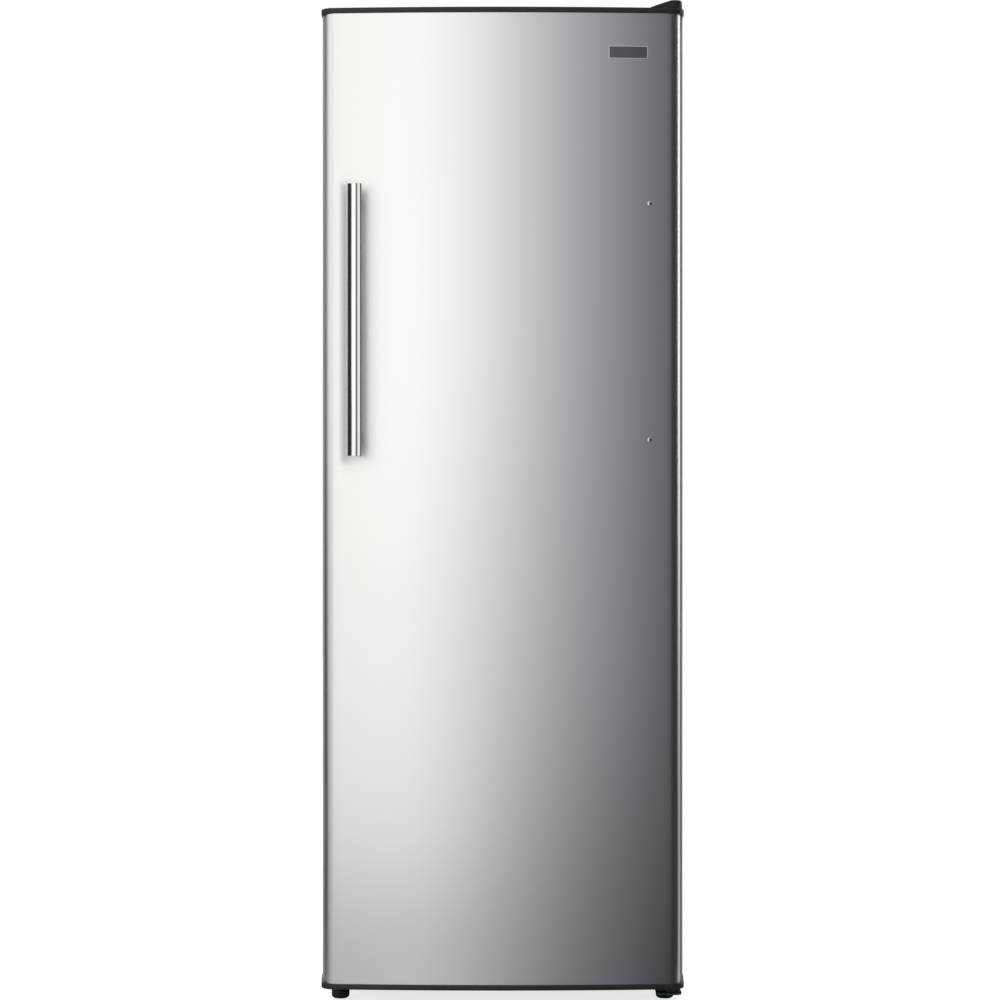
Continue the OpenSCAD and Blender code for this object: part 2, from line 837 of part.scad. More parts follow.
module condenser_coil() {
  path = upright_passes(cond_half, cond_low + cond_lead, cond_high, cond_passes, cond_y);
  last = len(path) - 1;
  full = concat([[path[0].x, cond_y, cond_low]], [for (i = [1 : last - 1]) path[i]],
    [[path[last].x, cond_y, cond_low]]);
  color([0.72, 0.45, 0.25]) tube(bent_path(full, 14, 3), cond_r);
}

module evaporator() {
  z0 = evap_z + evap_pitch / 2;
  passes = [for (i = [0 : 2 * evap_passes - 1])
    let (k = floor(i / 2), out = (k % 2 == 0) == (i % 2 == 0))
    [out ? evap_reach + 8 : -evap_reach - 8, evap_y, z0 + k * evap_pitch]];
  last = len(passes) - 1;
  path = concat([[line_x, evap_y, evap_z - tail], [line_x, evap_y, z0]],
    [for (i = [1 : last - 1]) passes[i]], [[line_x - 2, evap_y, passes[last].z]]);
  color([0.78, 0.79, 0.8]) {
    tube(bent_path(path, 10, 3), evap_r);
    difference() {
      for (i = [0 : fin_count - 1])
        let (x = -evap_w / 2 + 12 + i * (evap_w - 24) / (fin_count - 1))
        block(x - fin_t / 2, evap_y - evap_d / 2, evap_z,
          x + fin_t / 2, evap_y + evap_d / 2, evap_z + evap_h);
      for (k = [0 : evap_passes - 1])
        rod_x(-evap_w, evap_w, evap_y, z0 + k * evap_pitch, evap_r + fit);
    }
    difference() {
      mirrored_x() block(evap_w / 2 - plate_t, duct_y + duct_panel_t + 4, heater_z - 10,
        evap_w / 2, in_back - seat, evap_z + evap_h);
      for (k = [0 : evap_passes - 1])
        rod_x(-evap_w, evap_w, evap_y, z0 + k * evap_pitch, evap_r + fit);
      for (s = [-1, 1])
        rod_x(-evap_w, evap_w, evap_y + s * heater_gap / 2, heater_z, heater_r + fit);
    }
  }
}

module defrost_heater() {
  reach = evap_w / 2 + 14;
  color([0.35, 0.35, 0.37]) tube(bent_path([
    [evap_w / 2 + 6, evap_y - heater_gap / 2, heater_z], [-reach, evap_y - heater_gap / 2, heater_z],
    [-reach, evap_y + heater_gap / 2, heater_z], [evap_w / 2 + 6, evap_y + heater_gap / 2, heater_z]],
    heater_gap / 2 - 1), heater_r);
}

module drain_trough() {
  y0 = duct_y + duct_panel_t + seat;
  y1 = in_back - seat;
  x1 = line_x - evap_r - trough_gap;
  color([0.8, 0.81, 0.82]) difference() {
    union() {
      block(-x1, y0, trough_z, x1, y1, trough_z + trough_h);
      rod_z(trough_z - 12, trough_z + trough_t, drain_x, evap_y, drain_r - drain_t - fit);
    }
    block(-x1 + trough_t, y0 + trough_t, trough_z + trough_t,
      x1 - trough_t, y1 - trough_t, trough_z + trough_h + past);
    rod_z(trough_z - 13, trough_z + trough_h, drain_x, evap_y, drain_r - 2 * drain_t - fit);
  }
}

module drain_tube() {
  color([0.85, 0.85, 0.86]) difference() {
    rod_z(can_top + tray_h - 6, trough_z, drain_x, evap_y, drain_r);
    rod_z(can_top, trough_z + past, drain_x, evap_y, drain_r - drain_t);
  }
}

// Cut through the duct panel from x0 to x1, h high
module vent(x0, z, x1, h) {
  block(x0, duct_y - past, z, x1, duct_y + duct_panel_t + past, z + h);
}

// A panel across the back of the storage space, with vents, and a fan shroud behind it
module duct_cover() {
  rows = floor((fan_dia / 2 - shroud_gap) / vent_pitch);
  color([0.93, 0.94, 0.95]) difference() {
    union() {
      along_y(duct_y, duct_y + duct_panel_t)
        polygon(round_box(-in_half + seat, step_z + seat, in_half - seat, in_top - seat, in_round));
      rod_y(duct_y, duct_y + shroud_len, 0, fan_z, shroud_r + shroud_t);
    }
    rod_y(duct_y + duct_panel_t, duct_y + shroud_len + past, 0, fan_z, shroud_r);
    for (i = [-rows : rows]) let (w = sqrt(pow(fan_dia / 2, 2) - pow(i * vent_pitch, 2)) - 2)
      vent(-w, fan_z + i * vent_pitch - vent_h / 2, w, vent_h);
    // cold air to each level
    for (i = [1 : shelf_count - 1]) for (s = [-1, 1]) for (row = [0 : vent_rows - 1])
      vent(s * vent_x - vent_half, shelf_top(i) - vent_drop - row * vent_pitch,
        s * vent_x + vent_half, vent_h);
    // return air at the foot
    for (i = [-return_count : return_count])
      vent(i * return_pitch - return_w / 2, step_z + return_low, i * return_pitch + return_w / 2, return_h);
  }
}

module fan_motor() {
  y0 = fan_y + hub_len + 4;
  y1 = in_back - 10;
  color([0.3, 0.3, 0.32]) {
    rod_y(y0, y1, 0, fan_z, motor_r);
    rod_y(fan_y + hub_cap + seat, y0 + past, 0, fan_z, shaft_r);
    for (a = [90, 210, 330])
      rod_y(y1 - 6, in_back - seat, motor_r * 0.7 * cos(a), fan_z + motor_r * 0.7 * sin(a), 4);
  }
}

module fan_blade() {
  tip_r = fan_dia / 2 - 1;
  color([0.88, 0.89, 0.9]) difference() {
    union() {
      rod_y(fan_y, fan_y + hub_len, 0, fan_z, hub_r);
      for (i = [0 : blade_count - 1])
        translate([0, fan_y + hub_len / 2, fan_z]) rotate([0, i * 360 / blade_count, 0])
          rotate([0, 0, 28]) intersection() {
            block(-16, -1, hub_r - 5, 16, 1, tip_r);
            rod_y(-3, 3, 0, 0, tip_r);
          }
    }
    rod_y(fan_y + hub_cap, fan_y + hub_len + past, 0, fan_z, shaft_r + fit);
  }
}

// ---------- controls ----------

module control_housing() {
  half = ctrl_w / 2;
  color([0.92, 0.93, 0.94]) difference() {
    along_x(-half, half) polygon([
      [ctrl_y, ctrl_z + 6], [ctrl_y + 6, ctrl_z], [ctrl_y + ctrl_d, ctrl_z],
      [ctrl_y + ctrl_d, in_top], [ctrl_y, in_top]]);
    block(ctrl_t - half, ctrl_y + ctrl_t, ctrl_z + 8,
      half - ctrl_t, ctrl_y + ctrl_d - ctrl_t, in_top - ctrl_t);
    block(ctrl_t - half, ctrl_y + 8, ctrl_z + ctrl_t,
      half - ctrl_t, ctrl_y + ctrl_d - ctrl_t, ctrl_z + 9);
    rod_y(ctrl_y - past, ctrl_y + ctrl_t + past, knob_x, dial_z, shaft_r + fit);
    block(rocker_x - rocker_w / 2 - rocker_play, ctrl_y - past, dial_z - rocker_half - rocker_play - 1,
      rocker_x + rocker_w / 2 + rocker_play, ctrl_y + ctrl_t + past, dial_z + rocker_half + rocker_play + 1);
    block(-lens_w / 2, ctrl_y + lens_front, ctrl_z - past,
      lens_w / 2, ctrl_y + lens_front + lens_d, ctrl_z + ctrl_t + past);
  }
}

module control_board() {
  color([0.1, 0.35, 0.18]) {
    translate([-board.x / 2, ctrl_y + 20, in_top - ctrl_t - board.z]) cube(board);
    for (i = [0 : 3])
      translate([-46 + i * chip_pitch, ctrl_y + 40, in_top - ctrl_t - board.z - chip.z]) cube(chip);
  }
}

module lamp_lens() {
  x1 = lens_w / 2;
  y0 = ctrl_y + lens_front;
  y1 = y0 + lens_d;
  color([0.95, 0.96, 0.9, 0.6]) {
    block(nip - x1, y0 + nip, ctrl_z - lens_lip, x1 - nip, y1 - nip, ctrl_z + ctrl_t);
    block(-x1 - lens_lip, y0 - lens_lip, ctrl_z + ctrl_t,
      x1 + lens_lip, y1 + lens_lip, ctrl_z + ctrl_t + lens_flange);
  }
}

module thermostat_knob() {
  color([0.75, 0.76, 0.78]) {
    difference() {
      rod_y(ctrl_y - knob_h, ctrl_y - 0.5, knob_x, dial_z, knob_dia / 2);
      mirror_about_knob()
        block(grip_half, ctrl_y - knob_h - past, dial_z - knob_dia, knob_dia, ctrl_y - knob_h + grip_h,
          dial_z + knob_dia);
    }
    rod_y(ctrl_y - 2, ctrl_y + shaft_len, knob_x, dial_z, shaft_r);
  }
}

module mirror_about_knob() {
  for (s = [0, 1]) translate([knob_x, 0, 0]) mirror([s, 0, 0]) children();
}

module mode_rocker() {
  half_swing = rocker_swing / 2;
  dish = rocker_half * tan(half_swing);
  color([0.12, 0.12, 0.13])
    translate([rocker_x, ctrl_y + 2, dial_z]) rotate([half_swing, 0, 0])
      along_x(-rocker_w / 2, rocker_w / 2)
        polygon([
          [-2 - dish, -rocker_half], [-2, 0], [-2 - dish, rocker_half],
          [4, rocker_half - 3], [4, 3 - rocker_half]]);
}

// ---------- shelves ----------

function shelf_top(i) = shelf_z + i * shelf_pitch;
function ledge_top(i) = shelf_top(i) - wire_dia - 2 * rod_r + 0.6;

// Welded wire shelf: two side rods, three cross rods and a row of wires on top
module shelf(i) {
  z = ledge_top(i) + 0.1 + rod_r;
  reach = shelf_half - rod_r;
  color([0.95, 0.95, 0.96]) {
    mirrored_x() rod_y(shelf_front, shelf_back - 2, shelf_half - rod_r, z, rod_r);
    for (y = [shelf_front + rod_r, (shelf_front + shelf_back) / 2, shelf_back - 8])
      rod_x(-reach, reach, y, z, rod_r - 0.4);
    for (k = [1 : wire_count])
      rod_y(shelf_front + 1, shelf_back - 4, -reach + 2 * reach * k / (wire_count + 1),
        z + rod_r - 0.4 + wire_r - 0.7, wire_r);
  }
}

// ---------- hinges ----------

module top_hinge_bracket() {
  color([0.45, 0.46, 0.47]) difference() {
    translate([0, 0, cab_top]) linear_extrude(bracket_t)
      polygon(round_box(bracket_x0, hinge_y - bracket_nose, bracket_x1, y_front + top_bracket_back, 10));
    rod_z(cab_top - past, cab_top + bracket_t + past, hinge_x, hinge_y, pin_r + fit);
    bracket_places(top_screws) rod_z(cab_top - past, cab_top + bracket_t + past, 0, 0, screw_r + fit);
  }
}

// Hood over the top hinge: it ramps up from the inner side and rounds off at the outer side
module top_hinge_cover() {
  x0 = bracket_x0 - 11;
  x1 = bracket_x1 + 1;
  y0 = hinge_y - bracket_nose - 4;
  y1 = y_front + top_bracket_back + 4;
  t = 1.6;
  top = cab_top + cover_h;
  color([0.09, 0.09, 0.1]) difference() {
    intersection() {
      along_y(y0, y1) polygon(concat(
        [[x0, cab_top], [x1, cab_top]], arc(x1 - 5, top - 5, 5, 0, 90, 4),
        [[x1 - 15, top], [x1 - 20, top - 0.8]]));
      translate([0, 0, cab_top - past]) linear_extrude(cover_h + 5)
        polygon(round_box(x0 - 5, y0, x1, y1, 14));
    }
    intersection() {
      along_y(y0 + t, y1 - t) polygon([
        [bracket_x0 - seat, cab_top - past], [x1 - t + 0.6, cab_top - past], [x1 - t + 0.6, top - 5],
        [x1 - 5, top - t], [x1 - 20, top - t - 0.8], [bracket_x0 - seat, cab_top + bracket_t + seat]]);
      translate([0, 0, cab_top - 2 * past]) linear_extrude(cover_h + 5)
        polygon(round_box(bracket_x0 - seat, y0 + t, x1 - t + 0.6, y1 - t, 10));
    }
  }
}

module bottom_hinge_bracket() {
  color([0.12, 0.12, 0.13]) difference() {
    translate([0, 0, base_z - bracket_t]) linear_extrude(bracket_t)
      polygon(round_box(bracket_x0, hinge_y - bracket_nose, bracket_x1, y_front + low_bracket_back, 10));
    rod_z(base_z - bracket_t - past, base_z + past, hinge_x, hinge_y, pin_r + fit);
    rod_z(base_z - bracket_t - past, base_z + past, foot_x, foot_y, stem_r + fit);
    bracket_places(low_screws) rod_z(base_z - bracket_t - past, base_z + past, 0, 0, screw_r + fit);
  }
}

module hinge_pins() {
  color([0.72, 0.73, 0.75]) {
    rod_z(door_top - bush_len + 1, cab_top + bracket_t + 1, hinge_x, hinge_y, pin_r);
    rod_z(cab_top + bracket_t, cab_top + bracket_t + 2, hinge_x, hinge_y, pin_r + 2.5);
    rod_z(base_z - bracket_t - 1, door_bottom + bush_len - 1, hinge_x, hinge_y, pin_r);
    rod_z(base_z, collar_top, hinge_x, hinge_y, pin_r + 4);
    rod_z(base_z - bracket_t - 2, base_z - bracket_t, hinge_x, hinge_y, pin_r + 3);
  }
}

module hinge_screws() {
  color([0.72, 0.73, 0.75]) {
    bracket_places(top_screws) {
      rod_z(cab_top - screw_len, cab_top + bracket_t + screw_shank, 0, 0, screw_r);
      rod_z(cab_top + bracket_t, cab_top + bracket_t + screw_head_h, 0, 0, screw_head_r);
    }
    bracket_places(low_screws) {
      rod_z(base_z - bracket_t - screw_shank, base_z + screw_len, 0, 0, screw_r);
      rod_z(base_z - bracket_t - screw_head_h, base_z - bracket_t, 0, 0, screw_head_r);
    }
  }
}

// ---------- feet and rollers ----------

module foot(x) {
  color([0.1, 0.1, 0.1]) {
    translate([x, foot_y, 0]) rotate_extrude()
      polygon(concat([[0, 0]],
        arc(foot_dia / 2 - foot_round, foot_round, foot_round, -90, 0, 5),
        [[foot_dia / 2, foot_h], [0, foot_h]]));
    rod_z(foot_h - 1, stem_top, x, foot_y, stem_r);
  }
}

module roller_brackets() {
  out = fork_gap + fork_t;
  low = roller_r - axle_r - fork_skirt;
  color([0.5, 0.51, 0.52]) mirrored_x() difference() {
    union() {
      block(roller_x - out, roller_y - fork_plate, deck_z - fork_t,
        roller_x + out, roller_y + fork_plate, deck_z);
      for (x = [roller_x - out, roller_x + fork_gap]) along_x(x, x + fork_t)
        polygon([
          [roller_y - fork_top, deck_z], [roller_y - fork_foot, low],
          [roller_y + fork_foot, low], [roller_y + fork_top, deck_z]]);
    }
    rod_x(roller_x - out - past, roller_x + out + past, roller_y, roller_r, axle_r + fit);
  }
}

module roller_axles() {
  out = fork_gap + fork_t;
  color([0.72, 0.73, 0.75]) mirrored_x() {
    rod_x(roller_x - out - axle_head, roller_x + out + axle_head, roller_y, roller_r, axle_r);
    rod_x(roller_x + out, roller_x + out + axle_head, roller_y, roller_r, axle_r + axle_head);
  }
}

module roller(x) {
  color([0.14, 0.14, 0.15]) difference() {
    rod_x(x - roller_w / 2, x + roller_w / 2, roller_y, roller_r, roller_r);
    rod_x(x - roller_w, x + roller_w, roller_y, roller_r, axle_r + fit);
  }
}

// ---------- door ----------

module post_heights() {
  for (s = [-1, 1]) translate([0, 0, bar_z + s * post_pitch / 2]) children();
}

module door_skin() {
  color([0.72, 0.73, 0.74]) difference() {
    door_block(skin_low, skin_high, 0, y_door);
    door_block(skin_low - past, skin_high + past, -skin_t, y_door + past);
    post_heights() {
      rod_y(y_crown, y_crown + door_t, bar_x, 0, stud_r + fit);
      rod_y(y_crown, y_crown + door_t, -bar_x, 0, plug_shank_r + fit);
    }
  }
}

module door_cap(z0, z1, boss0, boss1) {
  difference() {
    union() {
      door_block(z0, z1, cap_lip, y_door);
      rod_z(boss0, boss1, hinge_x, hinge_y, boss_r);
    }
    rod_z(boss0 - past, boss1 + past, hinge_x, hinge_y, bush_r + fit);
  }
}

module door_top_cap() {
  color([0.09, 0.09, 0.1]) door_cap(skin_high, door_top, skin_high - boss_len, door_top);
}

module door_bottom_cap() {
  color([0.09, 0.09, 0.1]) {
    door_cap(door_bottom, skin_low, door_bottom, skin_low + boss_len);
    mirrored_x() along_x(half_w + fit, half_w + cap_lip)
      polygon([[y_door - ear_d, skin_low - 2], [y_door, skin_low - 2], [y_door, skin_low + ear_rise],
        [y_door - ear_d + 12, skin_low + ear_rise]]);
  }
}

module door_foam() {
  back = y_door - door_liner_t;
  color([0.93, 0.86, 0.66]) difference() {
    union() {
      door_block(skin_low, skin_high, -skin_t, back);
      mirrored_x() block(rail_in + door_liner_t, back - past, rail_low + door_liner_t,
        rail_out - door_liner_t, y_door + rail_h - door_liner_t, rail_high - door_liner_t);
    }
    rod_z(skin_high - boss_len - seat, skin_high + past, hinge_x, hinge_y, boss_r + seat);
    rod_z(skin_low - past, skin_low + boss_len + seat, hinge_x, hinge_y, boss_r + seat);
    post_heights() rod_y(y_crown, face_y(bar_x) + stud_depth + 1, bar_x, 0, stud_r + nip);
    post_heights() rod_y(y_crown, face_y(bar_x) + plug_depth + 1, -bar_x, 0, plug_shank_r + nip);
  }
}

function bin_floor(i) = bin_z + i * bin_pitch;

module door_liner() {
  side = half_w - skin_t;
  color([0.94, 0.95, 0.95]) {
    difference() {
      union() {
        block(-side, y_door - door_liner_t, skin_low, side, y_door, skin_high);
        mirrored_x() block(rail_in, y_door - past, rail_low, rail_out, y_door + rail_h, rail_high);
        for (i = [0 : bin_count - 1]) mirrored_x()
          block(rail_in - nub.x, y_door + nub_setback, bin_floor(i) - nub.z,
            rail_in + past, y_door + nub_setback + nub.y, bin_floor(i));
      }
      mirrored_x() block(rail_in + door_liner_t, y_door - door_liner_t - past, rail_low + door_liner_t,
        rail_out - door_liner_t, y_door + rail_h - door_liner_t, rail_high - door_liner_t);
    }
  }
}

// One lap of the seal: a frame in the XZ plane, drawn in from the seal's outer edge by two amounts
module seal_lap(y0, y1, outer, inner) {
  difference() {
    block(outer - seal_half, y0, seal_low + outer, seal_half - outer, y1, seal_high - outer);
    block(inner - seal_half, y0 - past, seal_low + inner, seal_half - inner, y1 + past, seal_high - inner);
  }
}

module door_seal() {
  waist = seal_w * 0.2;
  color([0.8, 0.8, 0.8]) {
    seal_lap(y_door, y_door + seal_thick * 0.3, 0, seal_w);
    seal_lap(y_door + seal_thick * 0.25, y_door + seal_thick * 0.7, waist, seal_w - waist);
    seal_lap(y_door + seal_thick * 0.6, y_door + seal_thick, 1, seal_w - 1);
  }
}

module hinge_bushes() {
  color([0.85, 0.85, 0.82]) difference() {
    union() {
      rod_z(door_top - bush_len, door_top + bush_flange_t, hinge_x, hinge_y, bush_r);
      rod_z(door_top, door_top + bush_flange_t, hinge_x, hinge_y, bush_flange_r);
      rod_z(door_bottom - bush_flange_t, door_bottom + bush_len, hinge_x, hinge_y, bush_r);
      rod_z(door_bottom - bush_flange_t, door_bottom, hinge_x, hinge_y, bush_flange_r);
    }
    rod_z(door_bottom - 5, door_top + 5, hinge_x, hinge_y, pin_r + fit);
  }
}

module handle_bar() {
  edge = 1.2;
  half = bar_len / 2;
  color([0.8, 0.81, 0.82]) difference() {
    translate([bar_x, bar_y, bar_z]) rotate_extrude($fn = 64) polygon([
      [0, -half], [bar_r - edge, -half], [bar_r, edge - half],
      [bar_r, half - edge], [bar_r - edge, half], [0, half]]);
    post_heights() rod_y(bar_y - 4, bar_y + bar_r + past, bar_x, 0, stud_r + fit);
  }
}

module handle_posts() {
  color([0.8, 0.81, 0.82]) {
    post_heights() rod_y(bar_y - 3, face_y(bar_x) + stud_depth, bar_x, 0, stud_r);
    difference() {
      post_heights() rod_y(bar_y, face_y(bar_x) + 4, bar_x, 0, post_r);
      rod_z(bar_z - bar_len, bar_z + bar_len, bar_x, bar_y, bar_r + fit);
      door_block(bar_z - bar_len, bar_z + bar_len, fit, y_door);
    }
  }
}

module hole_plugs() {
  color([0.6, 0.61, 0.62]) {
    post_heights() rod_y(face_y(bar_x) - 0.5, face_y(bar_x) + plug_depth, -bar_x, 0, plug_shank_r);
    difference() {
      post_heights() rod_y(face_y(bar_x) - 1.4, face_y(bar_x) + 2, -bar_x, 0, plug_r);
      door_block(bar_z - bar_len, bar_z + bar_len, fit, y_door);
    }
  }
}

module badge_plate() {
  color([0.35, 0.37, 0.39]) intersection() {
    along_y(y_crown - 10, y_door)
      polygon(round_box(badge_x - badge_w / 2, badge_z - badge_h / 2,
        badge_x + badge_w / 2, badge_z + badge_h / 2, 1.5));
    difference() {
      door_block(badge_z - badge_h, badge_z + badge_h, fit + badge_t, y_door - 10);
      door_block(badge_z - 2 * badge_h, badge_z + 2 * badge_h, fit, y_door + past);
    }
  }
}

// Open-topped bin that hangs between the rails and rests on their nubs
module bin(i) {
  y0 = y_door + 0.5;
  y1 = y_door + bin_d;
  color([0.95, 0.96, 0.97]) translate([0, 0, bin_floor(i)]) difference() {
    linear_extrude(bin_h) polygon(round_box(-bin_half, y0, bin_half, y1, bin_round));
    translate([0, 0, bin_t]) linear_extrude(bin_h)
      polygon(round_box(bin_t - bin_half, y0 + bin_t, bin_half - bin_t, y1 - bin_t, bin_round - bin_t));
  }
}

cabinet_shell();
back_panel();
base_pan();
compressor_deck();
cabinet_liner();
cabinet_foam();
condenser_coil();
compressor();
compressor_grommets();
compressor_bolts();
relay_box();
filter_drier();
refrigerant_lines();
drip_tray();
drain_tube();
evaporator();
defrost_heater();
drain_trough();
duct_cover();
fan_motor();
fan_blade();
control_housing();
control_board();
lamp_lens();
thermostat_knob();
mode_rocker();
shelf(0);  // shelf_1
shelf(1);  // shelf_2
shelf(2);  // shelf_3
shelf(3);  // shelf_4
shelf(4);  // shelf_5
rear_cover();
rear_cover_screws();
wall_spacers();
cord_gland();
top_hinge_bracket();
top_hinge_cover();
bottom_hinge_bracket();
hinge_pins();
hinge_screws();
roller_brackets();
roller_axles();
roller(-roller_x);  // left_roller
roller(roller_x);  // right_roller
foot(-foot_x);  // left_foot
foot(foot_x);  // right_foot
door_skin();
door_top_cap();
door_bottom_cap();
door_foam();
door_liner();
door_seal();
hinge_bushes();
handle_bar();
handle_posts();
hole_plugs();
badge_plate();
bin(0);  // door_bin_1
bin(1);  // door_bin_2
union() {  // door_bins_upper
  bin(2);
  bin(3);
}
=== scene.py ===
"""Upright freezer: the visible pieces, the finishes and a plain studio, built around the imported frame."""

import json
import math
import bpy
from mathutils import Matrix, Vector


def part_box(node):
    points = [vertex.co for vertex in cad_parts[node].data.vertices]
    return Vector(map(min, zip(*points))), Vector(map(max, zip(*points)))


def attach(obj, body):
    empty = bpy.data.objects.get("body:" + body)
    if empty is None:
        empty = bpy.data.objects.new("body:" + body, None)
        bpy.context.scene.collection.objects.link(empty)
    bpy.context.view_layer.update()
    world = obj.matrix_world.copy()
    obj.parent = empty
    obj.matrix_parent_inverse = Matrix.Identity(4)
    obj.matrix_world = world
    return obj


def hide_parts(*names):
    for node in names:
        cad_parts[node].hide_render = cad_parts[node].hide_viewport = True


bl_info = {
    "name": "Upright Freezer",
    "version": (1, 0, 0),
    "blender": (4, 5, 0),
    "location": "View3D > Sidebar > Freezer",
    "description": "Dresses the packed frame of an upright freezer and lights it",
    "category": "Object",
}

import bmesh
import bpy
from bpy.props import FloatProperty, FloatVectorProperty, IntProperty, PointerProperty
from bpy.types import Operator, Panel, PropertyGroup
from mathutils import Matrix, Vector

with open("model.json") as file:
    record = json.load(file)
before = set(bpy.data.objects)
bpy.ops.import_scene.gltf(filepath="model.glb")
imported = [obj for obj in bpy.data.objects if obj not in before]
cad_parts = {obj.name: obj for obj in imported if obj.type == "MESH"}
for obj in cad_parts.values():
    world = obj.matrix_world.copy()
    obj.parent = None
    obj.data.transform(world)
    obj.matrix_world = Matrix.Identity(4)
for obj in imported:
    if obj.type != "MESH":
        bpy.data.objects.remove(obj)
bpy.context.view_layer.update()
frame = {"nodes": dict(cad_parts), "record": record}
RECORD = frame["record"]
SLOT_OF = {row["node"]: row["material_slot"] for row in RECORD["subparts"]}
BODY_OF = {node: body for body, nodes in RECORD["behaviour"]["bodies"].items() for node in nodes}
SKIN_LOW, SKIN_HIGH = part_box("door_skin")
CAP_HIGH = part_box("door_top_cap")[1]
CAP_LIP = CAP_HIGH.x - SKIN_HIGH.x
DOOR_MIDDLE = (SKIN_LOW.z + SKIN_HIGH.z) / 2


# ---------- what a user would change ----------


def length(name, description, default):
    """A size in metres."""
    return FloatProperty(name=name, description=description, default=default, unit="LENGTH", precision=4)


def colour(name, description, default):
    """A plain colour."""
    return FloatVectorProperty(name=name, description=description, default=default, subtype="COLOR", size=3,
                               min=0.0, max=1.0)


class DoorSizes(PropertyGroup):
    """Shapes of the door's visible pieces."""

    bow: length("Bow", "How far the steel front stands out at its middle", 0.012)
    corner: length("Corner", "Radius of the steel's upright edges", 0.0185)
    hem: length("Side frame", "Width of the painted side frame seen beside the steel", 0.0042)
    groove: length("Groove", "Width of the line between the steel and the side frame", 0.0009)
    sheet: length("Sheet", "Thickness of the steel sheet", 0.0006)
    cap_round: length("Cap edge", "Rounding of the end caps' edges", 0.0011)
    handle_edge: length("Handle edge", "Bevel at the ends of the handle bar", 0.0012)
    badge_rim: length("Badge rim", "Width of the bright rim round the bare badge", 0.0012)
    seal_corner: length("Seal corner", "Radius of the seal's corners", 0.012)
    facets: IntProperty(name="Facets", description="Segments of a round piece", default=64, min=16)


class FinishColours(PropertyGroup):
    """Colours of the finishes."""

    steel: colour("Steel", "Stainless door sheet", (0.79, 0.78, 0.765))
    bar: colour("Handle", "Polished handle", (0.84, 0.835, 0.825))
    paint: colour("Cabinet", "Painted cabinet sheet", (0.50, 0.51, 0.52))
    zinc: colour("Zinc", "Galvanised sheet", (0.55, 0.56, 0.57))
    black: colour("Black", "Moulded black plastic", (0.020, 0.020, 0.021))
    liner: colour("Liner", "White inner plastic", (0.86, 0.87, 0.87))
    clear: colour("Bins", "Clear bin plastic", (0.90, 0.93, 0.945))
    copper: colour("Copper", "Tubes of the cooling circuit", (0.76, 0.42, 0.27))
    foam: colour("Foam", "Insulating foam", (0.85, 0.76, 0.52))
    seal: colour("Seal", "Door seal", (0.60, 0.61, 0.62))


class StudioSettings(PropertyGroup):
    """Camera, lamps and cards."""

    distance: length("Distance", "From the camera to the door's front", 4.2)
    height: length("Height", "Height of the camera", 0.8353)
    aside: length("Aside", "Place of the camera beside the freezer's middle", -0.0044)
    lens: FloatProperty(name="Lens", description="Focal length in millimetres", default=92.0, min=20.0)
    air: FloatProperty(name="Air", description="Level of the light that comes from all round", default=0.5)
    backdrop: FloatProperty(name="Backdrop", description="Brightness of the backdrop itself", default=1.0)
    lift: FloatProperty(name="Floor lift", description="Light the camera sees added to it", default=0.76)


# ---------- finishes ----------


class Socket:
    """A node's output. Arithmetic on it adds Math nodes to the same finish."""

    def __init__(self, finish, output):
        self.finish = finish
        self.output = output

    def math(self, operation, first, second):
        """A Math node on two values."""
        return self.finish.node("ShaderNodeMath", {"operation": operation}, {0: first, 1: second})

    def __add__(self, other):
        return self.math("ADD", self, other)

    __radd__ = __add__

    def __sub__(self, other):
        return self.math("SUBTRACT", self, other)

    def __rsub__(self, other):
        return self.math("SUBTRACT", other, self)

    def __mul__(self, other):
        return self.math("MULTIPLY", self, other)

    __rmul__ = __mul__

    def __truediv__(self, other):
        return self.math("DIVIDE", self, other)

    def __rtruediv__(self, other):
        return self.math("DIVIDE", other, self)

    def __pow__(self, other):
        return self.math("POWER", self, other)


